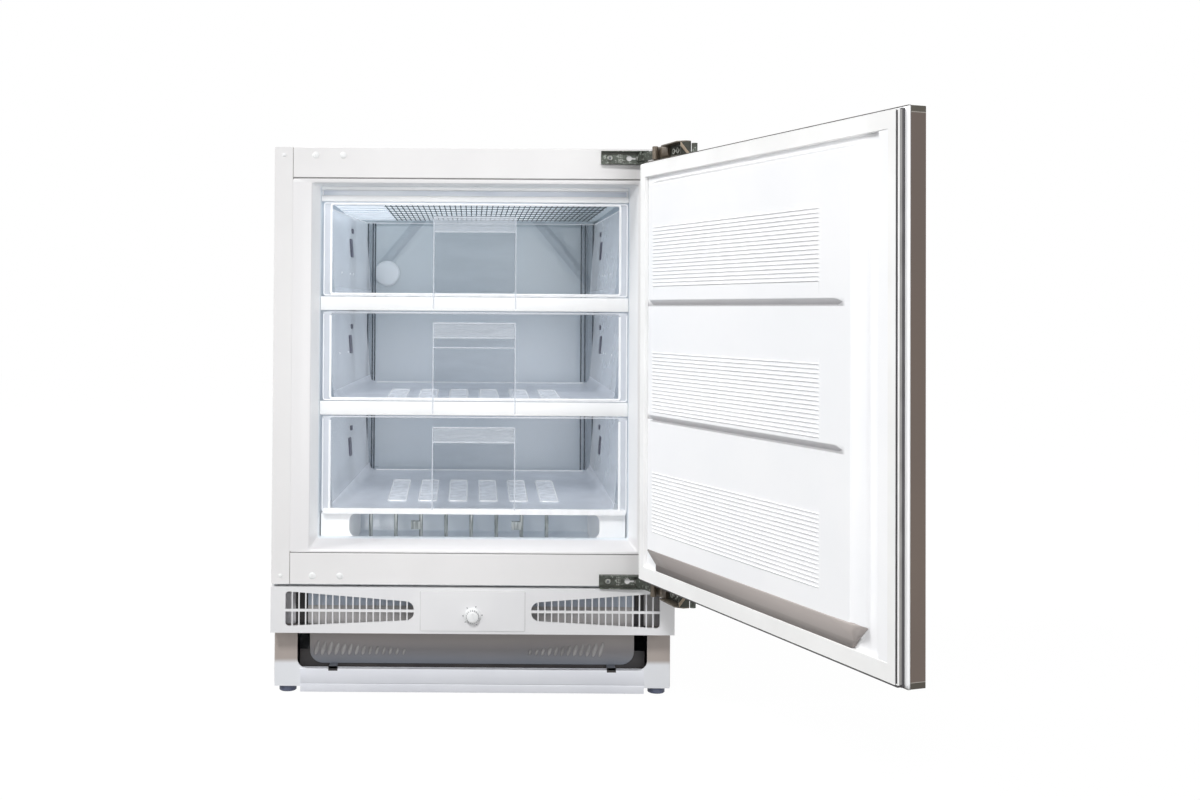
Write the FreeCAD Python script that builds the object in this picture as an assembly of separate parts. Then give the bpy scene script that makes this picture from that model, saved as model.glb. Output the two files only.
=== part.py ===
import FreeCAD, Part
import math
import os

V = FreeCAD.Vector
X_AXIS = V(1, 0, 0)
Z_AXIS = V(0, 0, 1)
HAIR = 1e-6

# A built-in freezer for a kitchen niche, door open, three clear drawers in.
# Millimetres and degrees. x to the right, y to the back, z up.
# The origin is on the floor, mid width, in the plane of the cabinet's front.

# Cabinet shell
cabinet_width = 598.0
cabinet_height = 820.0
cabinet_depth = 514.0
sheet = 1.0
stile_width = 27.0
rail_height = 47.0
rail_gauge = 2.0
lower_rail_bottom = 171.0
kick_setback = 38.0
base_height = 12.0
bay_step_height = 54.0
half_width = cabinet_width / 2
inner_half = half_width - sheet
back = cabinet_depth - sheet
ceiling = lower_rail_bottom
rear_ceiling = ceiling + bay_step_height
upper_rail_bottom = cabinet_height - rail_height
lower_rail_top = lower_rail_bottom + rail_height
stile_half = half_width - stile_width

# Compressor, which stands at the back and sets the step over the machine bay
compressor_side = 134.0
compressor_rear = 40.0
compressor_gap = 22.0
compressor_radius = 76.0
compressor_height = 158.0
compressor_wall = 8.0
compressor_rim = 32.0
compressor_foot_half = (96.0, 62.0)
compressor_foot_gauge = 3.0
compressor_x = half_width - compressor_side
compressor_y = cabinet_depth - compressor_rear - compressor_radius
bay_step_depth = compressor_y - compressor_radius - compressor_gap

# Food space: a moulded liner with a bevelled mouth and a hump over the compressor
liner_wall = 2.0
mouth_side = 55.5
mouth_sill = 4.0
mouth_head = 6.0
bevel_depth = 30.0
bevel_width = 10.5
back_taper = 11.0
rear_insulation = 74.0
floor_drop = 16.0
neck_drop = 1.0
lip_height = 13.0
lip_run = 15.0
hump_overhang = 38.0
hump_lean = 23.0
mouth_half_width = half_width - mouth_side
mouth_bottom = lower_rail_top + mouth_sill
mouth_top = upper_rail_bottom - mouth_head
space_half_width = mouth_half_width - bevel_width
space_back_half_width = space_half_width - back_taper
space_depth = cabinet_depth - rear_insulation
space_floor = mouth_bottom - floor_drop
space_top = mouth_top - neck_drop
hump_front = bay_step_depth - hump_overhang

# Cooling shelves, at shares of the height over the bottom drawer's rods
front_recess = 35.0
rack_height = 66.0
shelf_head = 1.0
shelf_shares = (1.0, 326 / 493, 168 / 493)
trim_depth = 10.0
trim_height = (27.5, 21.0, 21.0)
trim_clearance = 0.6
top_wire_drop = 18.0
tube_radius = 4.0
tube_runs = 9
tube_side = 33.0
tube_rear = 55.0
tube_bend_share = 0.45
wire_radius = 1.25
wire_count = 24
rod_radius = 3.0
rod_count = 8
rods_left = 73.0
rods_right = 117.9
rod_bend_depth = 110.0
rod_bend = 14.0
clip_rods = (2, 6)
clip_size = 12.0
clip_drop = 30.0
bottom_drawer_floor = space_floor + rack_height
shelf_span = space_top - shelf_head - bottom_drawer_floor
trim_top = [bottom_drawer_floor + share * shelf_span for share in shelf_shares]
wire_top = [trim_top[0] - top_wire_drop, trim_top[1], trim_top[2]]
tube_pitch = (space_depth - tube_rear - front_recess - trim_depth) / (tube_runs - 0.5)
tube_bend = tube_bend_share * tube_pitch
tube_half_run = space_half_width - tube_side
tube_lane = tube_half_run + 3 * tube_radius
wire_pitch = 2 * (tube_half_run + wire_radius) / (wire_count - 1)
first_rod_x = rods_left - space_half_width
rod_pitch = (2 * space_half_width - rods_left - rods_right) / (rod_count - 1)
clip_height = bottom_drawer_floor - clip_drop

# Drawers
drawer_lift = 0.5
drawer_side_gap = 4.0
drawer_head_gap = 1.5
drawer_front_gauge = 3.0
drawer_wall = 2.5
drawer_draft = 9.0
drawer_rear_gap = 88.0
drawer_wall_drop = 22.5
front_border = 13.0
border_proud = 2.0
pocket_half_width = 62.0
pocket_depth = 20.0
pocket_drop = 17.0
grip_height = 22.0
pocket_foot = 6.0
drawer_half_width = space_half_width - drawer_side_gap
drawer_length = space_depth - drawer_rear_gap
hump_top = bottom_drawer_floor - 2 * rod_radius - drawer_lift
drawer_floors = (wire_top[1] + drawer_lift, wire_top[2] + drawer_lift, bottom_drawer_floor)

# Sensor cap on the back wall
sensor_side = 64.0
sensor_drop = 122.0
sensor_radius = 23.0
sensor_proud = 9.0
sensor_x = sensor_side - space_back_half_width
sensor_z = space_top - sensor_drop

# Ventilation grille, control plate and thermostat
grille_height = 67.5
grille_gap = 4.0
grille_gauge = 3.0
grille_return = 2.0
vent_side = 22.0
vent_inner = 87.0
vent_drop = 6.0
vent_outer_height = 51.5
vent_inner_height = 27.0
vent_inner_shift = -2.5
vent_corner = 5.0
vent_end = 12.0
vent_bars = 18
vent_bar = 1.8
plate_half_width = 77.0
plate_height = 58.0
plate_gauge = 1.2
knob_height = 27.0
knob_radius = 12.0
knob_length = 13.0
knob_front_radius = 10.8
pointer_half_width = 2.0
pointer_length = 10.2
pointer_proud = 1.0
knob_clearance = 0.6
shaft_radius = 3.0
running_clearance = 0.05
end_clearance = 1.0
thermostat_size = 44.0
thermostat_depth = 30.0
vent_outer = half_width - vent_side
grille_top = lower_rail_bottom - grille_gap
grille_bottom = grille_top - grille_height
knob_z = grille_bottom + knob_height
plate_front = -grille_gauge - plate_gauge

# Condenser block and the fan beside it
condenser_side = 14.0
condenser_length = 200.0
condenser_step = 64.0
fin_count = 16
fin_pitch = 8.0
fin_gauge = 0.6
fin_height = 125.0
condenser_passes = 10
condenser_pitch = 20.0
condenser_bend = 9.0
fan_gap = 35.0
fan_radius = 55.0
fan_tip_clearance = 4.0
fan_frame = 132.0
fan_frame_depth = 20.0
fan_hub_radius = 17.0
fan_hub_half = 8.0
fan_blades = 5
blade_width = 24.0
blade_gauge = 2.0
blade_angle = 32.0
blade_root = 10.2
blade_tip_gap = 3.0
fan_shaft_radius = 2.0
motor_radius = 20.0
motor_length = 28.0
motor_arm = 4.0
motor_arms = 3
motor_hole = 4.0
condenser_left = condenser_side - half_width
condenser_front = bay_step_depth - condenser_step
fan_x = condenser_left + condenser_length + fan_gap

# Other machinery in the bay
grommet_radius = 11.0
grommet_height = 14.0
relay_size = (40.0, 52.0, 58.0)
pipe_radius = 3.0
pipe_bend = 14.0
pipe_height = 92.0
pipe_gap = 0.5
pipe_lead = 16.8
pipe_offset = 33.6
drier_radius = 9.0
drier_length = 70.0
capillary_radius = 1.5
capillary_bend = 9.8
gland_side = 64.0
gland_z = 70.0
gland_radius = 11.0
gland_bore = 4.5
gland_neck = 9.0
gland_head = 4.0
gland_body = 6.0
rear_slots = 12
rear_slot_half = 3.0
rear_slot_margin = 27.0
gland_x = half_width - gland_side

# Kick frame, feet and tray
kick_gauge = 2.0
kick_leg = 35.0
kick_opening_bottom = 37.0
kick_opening_top = 112.0
kick_corner = 14.0
kick_bar_gap = 5.0
kick_bar_foot = 1.5
kick_bar_fold = 9.0
foot_radius = 13.0
foot_height = 9.0
foot_chamfer = 1.0
foot_inset = 19.0
foot_depth = 56.0
rear_foot_inset = 44.0
stud_radius = 4.0
bush_radius = 9.0
bush_height = 18.0
tray_side = 18.0
tray_bottom = 31.0
tray_height = 104.0
tray_gap = 16.0
tray_rear = 52.0
tray_wall = 2.5
tray_corner = 22.0
hook_inset = 36.0
hook_width = 12.0
hook_height = 4.0
pan_top = base_height + kick_gauge
kick_opening_half = half_width - kick_leg
kick_bar_half = kick_opening_half - kick_bar_gap
rear_foot_depth = cabinet_depth - rear_foot_inset
tray_half_width = kick_opening_half - tray_side
tray_front = kick_setback + tray_gap
tray_back = condenser_front - condenser_pitch - tray_rear
hook_x = tray_half_width - hook_inset

# Door, drawn closed and then swung open by door_angle
door_angle = 110.0
door_side = 3.0
door_sill = 19.2
door_head = 25.6
door_gauge = 19.0
cap_height = 7.0
door_liner_gauge = 2.0
gasket_gauge = 9.6
gasket_clearance = 0.4
gasket_inset = 6.0
gasket_width = 17.0
plug_height = 24.0
plug_hinge_inset = 52.0
plug_hinge_lean = 10.0
plug_free_inset = 54.0
plug_free_lean = 28.0
plug_bottom_inset = 24.0
plug_bottom_lean = 37.0
plug_top_inset = 30.4
plug_top_lean = 7.0
groove_shares = (0.6617, 0.3952)
groove_height = 9.0
groove_depth = 5.0
rib_shares = (0.6998, 0.4101, 0.1337)
rib_count = 17
rib_pitch = 5.1
rib_gauge = 2.2
rib_proud = 0.8
rib_start = 74.0
rib_end = 127.0
door_width = cabinet_width - door_side
door_half = door_width / 2
door_bottom = lower_rail_bottom + door_sill
door_top = cabinet_height - door_head
door_height = door_top - door_bottom
door_middle = door_bottom + door_height / 2
gasket_back = -gasket_clearance - gasket_gauge
liner_back = gasket_back - door_liner_gauge
door_front = liner_back - door_gauge

# Hinges: a bracket on the rail, a link, and a housing on the door
link_share = 0.442
pivot_side = 54.2
pivot_y = -8.0
door_pivot_inset = 11.0
pin_radius = 2.0
link_radius = 4.0
link_play = 3.0
hinge_height = 20.0
hinge_gap = 2.0
hinge_gauge = 1.5
bracket_side = 112.0
bracket_width = 70.0
bracket_depth = 12.0
housing_length = 113.0
housing_mouth = 1.5
screw_first = 9.0
screw_pitch = 30.0
screw_head = 4.0
screw_head_height = 1.8
screw_radius = 2.0
screw_length = 14.0
door_stud_gap = 15.0
door_stud_radius = 4.0
door_stud_height = 15.0
door_stud_flange = 7.0
door_stud_flange_height = 3.0
door_stud_x = housing_length + door_stud_gap
bracket_left = half_width - bracket_side
screw_x = (bracket_left + screw_first, bracket_left + screw_first + screw_pitch)
door_pivot = V(door_half - door_pivot_inset, liner_back - door_pivot_inset, 0)
cabinet_pivot = V(half_width - pivot_side, pivot_y, 0)
hinge_bottom = door_top + hinge_gap

# Blanking plugs of the rails' spare hinge holes, on the left
rail_plug_first = 61.0
rail_plug_pitch = 41.0
rail_plug_drop = 12.0
rail_plug_radius = 5.0
rail_plug_proud = 1.2
rail_plug_shank = 3.0
rail_plug_length = 6.0
stile_cap_side = 14.0
stile_cap_radius = 3.0
stile_cap_shank = 1.5
rail_plug_x = (rail_plug_first - half_width, rail_plug_first + rail_plug_pitch - half_width)
stile_cap_x = stile_cap_side - half_width


def box(x0, x1, y0, y1, z0, z1):
    """A block between two corners, in any order of ends."""
    low = V(min(x0, x1), min(y0, y1), min(z0, z1))
    return Part.makeBox(abs(x1 - x0), abs(y1 - y0), abs(z1 - z0), low)


def rod(radius, start, end):
    """A round bar between two points."""
    return Part.makeCylinder(radius, (end - start).Length, start, end - start)


def prism(points, along):
    """A flat outline carried along a vector."""
    return Part.Face(Part.makePolygon(list(points) + [points[0]])).extrude(along)


def fuse(shapes):
    """One solid from shapes that meet, with leftover seams taken out."""
    shapes = list(shapes)
    return shapes[0].multiFuse(shapes[1:]).removeSplitter()


def cut(shape, tools):
    """The shape less each tool."""
    return shape.cut(list(tools))


def group(shapes):
    """Separate solids kept together as one piece of the list."""
    return Part.makeCompound(list(shapes))


def frustum(low_section, high_section):
    """A ruled solid between two sections given as (y, x pair, z pair)."""
    wires = []
    for y, xs, zs in (low_section, high_section):
        corners = [V(xs[0], y, zs[0]), V(xs[1], y, zs[0]), V(xs[1], y, zs[1]), V(xs[0], y, zs[1])]
        wires.append(Part.makePolygon(corners + [corners[0]]))
    return Part.makeLoft(wires, True, True)


def bent_bar(points, radius, bend):
    """A round bar along straight runs, with an arc of one radius at each corner."""
    edges = []
    start = points[0]
    for before, corner, after in zip(points, points[1:], points[2:]):
        come = (corner - before).normalize()
        leave = (after - corner).normalize()
        turn = come.getAngle(leave)
        reach = bend * math.tan(turn / 2)
        first = corner - come * reach
        last = corner + leave * reach
        inward = (leave - come).normalize()
        middle = corner + inward * (bend / math.cos(turn / 2) - bend)
        if (first - start).Length > HAIR:
            edges.append(Part.LineSegment(start, first).toShape())
        edges.append(Part.Arc(first, middle, last).toShape())
        start = last
    edges.append(Part.LineSegment(start, points[-1]).toShape())
    path = Part.Wire(edges)
    ring = Part.Circle(points[0], points[1] - points[0], radius).toShape()
    return path.makePipeShell([Part.Wire([ring])], True, True)


def mirrored_x(shape):
    """The same piece on the other side of the middle."""
    return shape.mirror(V(0, 0, 0), X_AXIS)


def swung(shape):
    """A door piece moved from closed to the open door's place."""
    moved = shape.copy()
    moved.rotate(door_pivot, Z_AXIS, door_angle)
    moved.translate(link_end() - door_pivot)
    return moved


def turned_link(shape):
    """A hinge link moved from the closed door's place to the open door's."""
    moved = shape.copy()
    moved.rotate(cabinet_pivot, Z_AXIS, -link_share * door_angle)
    return moved


def link_end():
    """Where the door's pivot stands when the door is open."""
    turn = FreeCAD.Rotation(Z_AXIS, -link_share * door_angle)
    return cabinet_pivot + turn.multVec(door_pivot - cabinet_pivot)


def save(name, shape):
    """Writes one piece to its own file."""
    if not shape.isValid():
        raise ValueError(name + " is not a valid solid")
    shape.exportStep("parts/" + name + ".step")


def side_panel():
    """Left side sheet: folded round into the front stile, notched for the grille and kick."""
    notch = kick_setback + kick_gauge
    outline = [
        V(-half_width, 0, lower_rail_bottom),
        V(-half_width, 0, cabinet_height),
        V(-half_width, cabinet_depth, cabinet_height),
        V(-half_width, cabinet_depth, base_height),
        V(-half_width, notch, base_height),
        V(-half_width, notch, lower_rail_bottom),
    ]
    wall = prism(outline, V(sheet, 0, 0))
    stile = box(-half_width, -stile_half, 0, sheet, lower_rail_bottom, cabinet_height)
    return fuse([wall, stile])


def rail_plug_levels():
    """Heights of the blanking plugs: near the outer edge of the upper and the lower rail."""
    return (cabinet_height - rail_plug_drop, lower_rail_bottom + rail_plug_drop)


def stile_cap_hole(z):
    """Hole for the small screw cap on the left stile."""
    return rod(stile_cap_shank, V(stile_cap_x, 0, z), V(stile_cap_x, sheet, z))


def rail(bottom, plug_z, screw_z):
    """Front cross rail between the stiles, with spare hinge holes left and screw holes right."""
    strip = box(-stile_half, stile_half, 0, rail_gauge, bottom, bottom + rail_height)
    holes = [rod(rail_plug_shank, V(x, 0, plug_z), V(x, rail_gauge, plug_z)) for x in rail_plug_x]
    holes += [rod(screw_radius, V(x, 0, screw_z), V(x, rail_gauge, screw_z)) for x in screw_x]
    return cut(strip, holes)


def rail_plugs():
    """Four blanking plugs in the rails and two small caps on the left stile."""
    plugs = []
    for z in rail_plug_levels():
        for x in rail_plug_x:
            head = rod(rail_plug_radius, V(x, 0, z), V(x, -rail_plug_proud, z))
            shank = rod(rail_plug_shank, V(x, 0, z), V(x, rail_plug_length, z))
            plugs.append(fuse([head, shank]))
        head = rod(stile_cap_radius, V(stile_cap_x, 0, z), V(stile_cap_x, -rail_plug_proud, z))
        shank = stile_cap_hole(z)
        plugs.append(fuse([head, shank]))
    return group(plugs)


def space_solid(wall):
    """The food space as a solid, grown outwards by a wall: mouth, lip, tub, less the hump."""
    lip_back = bevel_depth + lip_run
    mouth_x = mouth_half_width + wall
    mouth_z = (mouth_bottom - wall, mouth_top + wall)
    neck_x = space_half_width + wall
    neck_z = (mouth_bottom + lip_height - wall, space_top - neck_drop + wall)
    tub_z = (space_floor - wall, space_top + wall)
    back_x = space_back_half_width + wall
    back_y = space_depth + wall
    mouth = frustum((0, (-mouth_x, mouth_x), mouth_z), (bevel_depth, (-neck_x, neck_x), neck_z))
    lip = frustum((bevel_depth, (-neck_x, neck_x), neck_z), (lip_back, (-neck_x, neck_x), tub_z))
    tub = frustum((lip_back, (-neck_x, neck_x), tub_z), (back_y, (-back_x, back_x), tub_z))
    hump_foot = hump_front + wall
    hump_level = hump_top - wall
    hump = prism(
        [
            V(-half_width, hump_foot, space_floor - wall),
            V(-half_width, hump_foot + hump_lean, hump_level),
            V(-half_width, back_y, hump_level),
            V(-half_width, back_y, space_floor - wall),
        ],
        V(cabinet_width, 0, 0),
    )
    return cut(fuse([mouth, lip, tub]), [hump])


def inner_liner():
    """White moulded liner: a flat flange behind the stiles and the tub of the food space."""
    flange = box(-stile_half, stile_half, 0, liner_wall, lower_rail_top, upper_rail_bottom)
    return cut(fuse([flange, space_solid(liner_wall)]), [space_solid(0)])


def cabinet_foam():
    """Insulation between the liner and the sheets, stepped up over the machine bay."""
    block = box(-inner_half, inner_half, rail_gauge, back, ceiling, cabinet_height - sheet)
    step = box(-inner_half, inner_half, bay_step_depth - sheet, back, ceiling, rear_ceiling)
    shanks = []
    for z in rail_plug_levels():
        for x in rail_plug_x:
            shanks.append(rod(rail_plug_shank, V(x, 0, z), V(x, rail_plug_length, z)))
    for z in (hinge_screw_level(), mirrored_level(hinge_screw_level())):
        for x in screw_x:
            shanks.append(rod(screw_radius, V(x, 0, z), V(x, screw_length, z)))
    return cut(block, [step, space_solid(liner_wall)] + shanks)


def bay_ceiling():
    """Bent sheet that closes the insulation from below, over the machine bay."""
    front_part = box(-inner_half, inner_half, rail_gauge, bay_step_depth, ceiling - sheet, ceiling)
    riser = box(-inner_half, inner_half, bay_step_depth - sheet, bay_step_depth, ceiling, rear_ceiling)
    rear_part = box(-inner_half, inner_half, bay_step_depth, back, rear_ceiling - sheet, rear_ceiling)
    return fuse([front_part, riser, rear_part])


def base_pan():
    """Floor sheet of the machine bay, with a threaded bush for each front foot."""
    front = kick_setback + kick_gauge
    pan = box(-inner_half, inner_half, front, back, base_height, pan_top)
    pieces = [pan]
    holes = []
    for side in (-1, 1):
        x = side * (half_width - foot_inset)
        pieces.append(rod(bush_radius, V(x, foot_depth, pan_top), V(x, foot_depth, pan_top + bush_height)))
        top = V(x, foot_depth, pan_top + bush_height)
        holes.append(rod(stud_radius + running_clearance, V(x, foot_depth, base_height), top))
    return cut(fuse(pieces), holes)


def front_foot(side):
    """Screw-in foot: a round plastic pad on a stud that runs in the base pan's bush."""
    x = side * (half_width - foot_inset)
    pad = rod(foot_radius, V(x, foot_depth, 0), V(x, foot_depth, foot_height))
    rim = [e for e in pad.Edges if e.BoundBox.ZMax < HAIR]
    pad = pad.makeChamfer(foot_chamfer, rim)
    stud_top = pan_top + bush_height - end_clearance
    stud = rod(stud_radius, V(x, foot_depth, foot_height), V(x, foot_depth, stud_top))
    return fuse([pad, stud])


def rear_feet():
    """Two plain feet under the back of the base pan."""
    feet = []
    for side in (-1, 1):
        x = side * (half_width - foot_inset)
        feet.append(rod(foot_radius, V(x, rear_foot_depth, 0), V(x, rear_foot_depth, base_height)))
    return group(feet)


def rear_cover():
    """Slotted sheet over the back of the machine bay, with a hole for the cable gland."""
    plate = box(-inner_half, inner_half, back, cabinet_depth, base_height, rear_ceiling)
    left = -half_width + rear_slot_margin
    pitch = -2 * left / (rear_slots + 1)
    low = pan_top + grommet_height
    high = rear_ceiling - rear_slot_margin
    slots = []
    for i in range(rear_slots):
        x = left + pitch * (i + 1)
        if abs(x - gland_x) > gland_radius + pitch / 3:
            slots.append(box(x - rear_slot_half, x + rear_slot_half, back, cabinet_depth, low, high))
    hole = rod(gland_neck, V(gland_x, back, gland_z), V(gland_x, cabinet_depth, gland_z))
    return cut(plate, slots + [hole])


def cable_gland():
    """Moulded gland for the supply cable, snapped into the rear cover."""
    seat = V(gland_x, cabinet_depth, gland_z)
    outer = seat + V(0, gland_head, 0)
    inner = V(gland_x, back - gland_body, gland_z)
    body = fuse([rod(gland_radius, seat, outer), rod(gland_neck, inner, seat)])
    return cut(body, [rod(gland_bore, inner, outer)])


def shelf_trim(level, height):
    """White front strip of a cooling shelf, a folded section between the liner's walls."""
    half = space_half_width - trim_clearance
    y0 = front_recess - border_proud
    face = box(-half, half, y0, y0 + drawer_wall, level - height, level)
    y1 = y0 + trim_depth
    foot = box(-half, half, y0, y1, level - height, level - height + drawer_wall)
    web = box(-half, half, y1 - drawer_wall, y1, level - height, level - tube_radius)
    return fuse([face, foot, web])


def shelf_levels():
    """Centre height of each cooling tube: its wires end just below the trim's top."""
    return [level - 2 * wire_radius - tube_radius for level in wire_top]


def tube_ends():
    """Depth of the first run and the last run of a cooling tube."""
    first = front_recess + trim_depth + tube_pitch / 2
    return first, first + tube_pitch * (tube_runs - 1)


def evaporator_tube(z):
    """Serpentine tube of one cooling shelf, its two tails meeting the liner's back wall."""
    first, last = tube_ends()
    wall = space_depth
    points = [V(-tube_lane, wall, z), V(-tube_lane, first, z)]
    side = 1
    for i in range(tube_runs - 1):
        y = first + tube_pitch * i
        points += [V(side * tube_half_run, y, z), V(side * tube_half_run, y + tube_pitch, z)]
        side = -side
    points += [V(side * tube_half_run / 2, last, z), V(side * tube_half_run / 2, wall, z)]
    return bent_bar(points, tube_radius, tube_bend)


def evaporator_wires(z):
    """Straight wires welded across the top of one cooling tube."""
    top = z + tube_radius + wire_radius
    start = front_recess - border_proud + trim_depth
    end = tube_ends()[1] + tube_pitch / 3
    wires = []
    for i in range(wire_count):
        x = wire_pitch * (i - (wire_count - 1) / 2)
        wires.append(rod(wire_radius, V(x, start, top), V(x, end, top)))
    return group(wires)


def shelf_rods():
    """Bent rods that carry the bottom drawer: from the hump forward, then down to the floor."""
    z = hump_top + rod_radius
    rods = []
    for i in range(rod_count):
        x = first_rod_x + rod_pitch * i
        route = [V(x, space_depth, z), V(x, rod_bend_depth, z), V(x, rod_bend_depth, space_floor)]
        rods.append(bent_bar(route, rod_radius, rod_bend))
    return rods


def rod_clips():
    """Two small clips on the rods' front legs."""
    clips = []
    for i in clip_rods:
        x = first_rod_x + rod_pitch * i - rod_radius - drawer_lift
        y = rod_bend_depth
        half = clip_size / 2
        low = clip_height - half
        high = clip_height + half
        clip = box(x - clip_size, x + rod_radius, y - half, y + half, low, high)
        leg = V(first_rod_x + rod_pitch * i, y, 0)
        hole = rod(rod_radius, leg + V(0, 0, low), leg + V(0, 0, high))
        clips.append(cut(clip, [hole]))
    return clips


def sensor_cap():
    """Round moulded cap on the liner's back wall."""
    start = V(sensor_x, space_depth, sensor_z)
    cap = rod(sensor_radius, start, start - V(0, sensor_proud, 0))
    middle = space_depth - sensor_proud / 2
    front = [e for e in cap.Edges if e.Closed and e.BoundBox.YMax < middle]
    return cap.makeFillet(sensor_proud / 3, front)


def drawer_front(floor, height):
    """Clear front: a bordered plate with a finger pocket behind a grip bar in its middle."""
    y0 = front_recess
    y1 = y0 + drawer_front_gauge
    z0 = floor + drawer_lift
    z1 = z0 + height
    plate = box(-drawer_half_width, drawer_half_width, y0, y1, z0, z1)
    border = cut(
        box(-drawer_half_width, drawer_half_width, y0 - border_proud, y0, z0, z1),
        [
            box(
                -drawer_half_width + front_border,
                drawer_half_width - front_border,
                y0 - border_proud,
                y0,
                z0 + front_border / 2,
                z1 - front_border / 2,
            )
        ],
    )
    top = z1 - pocket_drop
    low = z0 + pocket_foot
    wall = drawer_wall
    pocket = box(-pocket_half_width, pocket_half_width, y0, y0 + pocket_depth, low, top)
    hollow = box(
        -pocket_half_width + wall,
        pocket_half_width - wall,
        y1,
        y0 + pocket_depth - wall,
        low + wall,
        top - wall,
    )
    mouth = box(
        -pocket_half_width + wall,
        pocket_half_width - wall,
        y0 - border_proud,
        y1,
        low + wall,
        top - grip_height,
    )
    return cut(fuse([plate, border, pocket]), [hollow, mouth])


def drawer_tub(floor, height):
    """Clear tub behind the front: floor, drafted sides and back, open at the top."""
    y0 = front_recess + drawer_front_gauge
    y1 = y0 + drawer_length
    top_half = drawer_half_width - front_border / 2
    low_half = top_half - drawer_draft
    z0 = floor
    z1 = floor + height - drawer_wall_drop

    def bowl(wall, bottom):
        """The tub's outline as a solid, drawn in by a wall."""
        rear = y1 - wall
        lean = drawer_draft
        lower = [V(-low_half + wall, y0, bottom), V(low_half - wall, y0, bottom)]
        lower += [V(low_half - wall, rear - lean, bottom), V(-low_half + wall, rear - lean, bottom)]
        upper = [V(-top_half + wall, y0, z1), V(top_half - wall, y0, z1)]
        upper += [V(top_half - wall, rear, z1), V(-top_half + wall, rear, z1)]
        loops = [Part.makePolygon(ring + [ring[0]]) for ring in (lower, upper)]
        return Part.makeLoft(loops, True, True)

    return cut(bowl(0, z0), [bowl(drawer_wall, z0 + drawer_wall)])


def vent_outline():
    """Tapered vent of the grille as a solid: tall outer end, low rounded inner end."""
    top = grille_top - vent_drop
    middle = top - vent_outer_height / 2 + vent_inner_shift
    tall = vent_outer_height / 2
    low = vent_inner_height / 2
    centre = top - tall
    points = [
        V(-vent_outer, -grille_gauge, centre - tall),
        V(-vent_inner, -grille_gauge, middle - low),
        V(-vent_inner, -grille_gauge, middle + low),
        V(-vent_outer, -grille_gauge, centre + tall),
    ]
    solid = prism(points, V(0, grille_gauge, 0))
    inner = [e for e in solid.Edges if e.BoundBox.YLength > HAIR and e.BoundBox.XMin > -vent_inner - HAIR]
    rounded = solid.makeFillet(vent_end, inner)
    outer = [e for e in rounded.Edges if e.BoundBox.YLength > HAIR and e.BoundBox.XMax < -vent_outer + HAIR]
    return rounded.makeFillet(vent_corner, outer)


def vent_cutter():
    """What is cut from the grille for the left vent: its outline less the bars."""
    pitch = (vent_outer - vent_inner) / (vent_bars + 1)
    top = grille_top - vent_drop
    centre = top - vent_outer_height / 2 + vent_inner_shift
    bars = [box(-vent_outer, -vent_inner, -grille_gauge, 0, centre - vent_bar, centre + vent_bar)]
    for i in range(vent_bars):
        x = -vent_outer + pitch * (i + 1)
        bars.append(box(x - vent_bar / 2, x + vent_bar / 2, -grille_gauge, 0, grille_bottom, grille_top))
    return cut(vent_outline(), bars)


def vent_grille():
    """Front grille: a plate with two barred vents, returned at its ends, top and foot."""
    plate = box(-half_width, half_width, -grille_gauge, 0, grille_bottom, grille_top)
    back_edge = kick_setback
    returns = []
    for side in (-1, 1):
        outer = side * half_width
        inner = outer - side * grille_return
        returns.append(box(outer, inner, 0, back_edge, grille_bottom, grille_top))
    for z in (grille_bottom, grille_top - grille_return):
        returns.append(box(-half_width, half_width, 0, back_edge, z, z + grille_return))
    left = vent_cutter()
    hole_radius = shaft_radius + knob_clearance
    hole = rod(hole_radius, V(0, -grille_gauge, knob_z), V(0, 0, knob_z))
    return cut(fuse([plate] + returns), [left, mirrored_x(left), hole])


def control_plate():
    """Thin plate on the grille behind the thermostat's knob."""
    low = grille_bottom + (grille_height - plate_height) / 2
    plate = box(-plate_half_width, plate_half_width, plate_front, -grille_gauge, low, low + plate_height)
    hole_radius = shaft_radius + knob_clearance
    hole = rod(hole_radius, V(0, plate_front, knob_z), V(0, -grille_gauge, knob_z))
    return cut(plate, [hole])


def thermostat_body():
    """Thermostat box behind the grille, with the bearing of its shaft."""
    half = thermostat_size / 2
    block = box(-half, half, 0, thermostat_depth, knob_z - half / 2, knob_z + half)
    end = V(0, thermostat_depth, knob_z)
    return cut(block, [rod(shaft_radius + running_clearance, V(0, 0, knob_z), end)])


def thermostat_shaft():
    """Steel shaft from the thermostat through the grille into the knob."""
    front = plate_front - knob_clearance - knob_length / 2
    return rod(shaft_radius, V(0, front, knob_z), V(0, thermostat_depth - end_clearance, knob_z))


def thermostat_knob():
    """Round moulded knob with a raised pointer bar, seated on the shaft's end."""
    back_face = plate_front - knob_clearance
    front_face = back_face - knob_length
    seat = V(0, back_face, knob_z)
    body = Part.makeCone(knob_radius, knob_front_radius, knob_length, seat, V(0, -1, 0))
    tip = knob_z + pointer_length
    bar = box(-pointer_half_width, pointer_half_width, front_face - pointer_proud, front_face, knob_z, tip)
    socket = rod(shaft_radius, seat, seat - V(0, knob_length / 2, 0))
    return cut(fuse([body, bar]), [socket])


def kick_frame():
    """White frame under the grille: two legs and a sill round the air opening."""
    y0 = kick_setback
    y1 = y0 + kick_gauge
    top = grille_bottom + grille_height / 2
    face = box(-inner_half, inner_half, y0, y1, base_height - kick_gauge, top)
    half = kick_opening_half
    opening = box(-half, half, y0, y1, kick_opening_bottom, kick_opening_top)
    corners = [e for e in opening.Edges if e.BoundBox.YLength > e.BoundBox.XLength + e.BoundBox.ZLength]
    opening = opening.makeFillet(kick_corner, corners)
    gap = box(-kick_bar_half, kick_bar_half, y0, y1, 0, kick_opening_bottom - kick_corner)
    return cut(face, [opening, gap])


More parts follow.
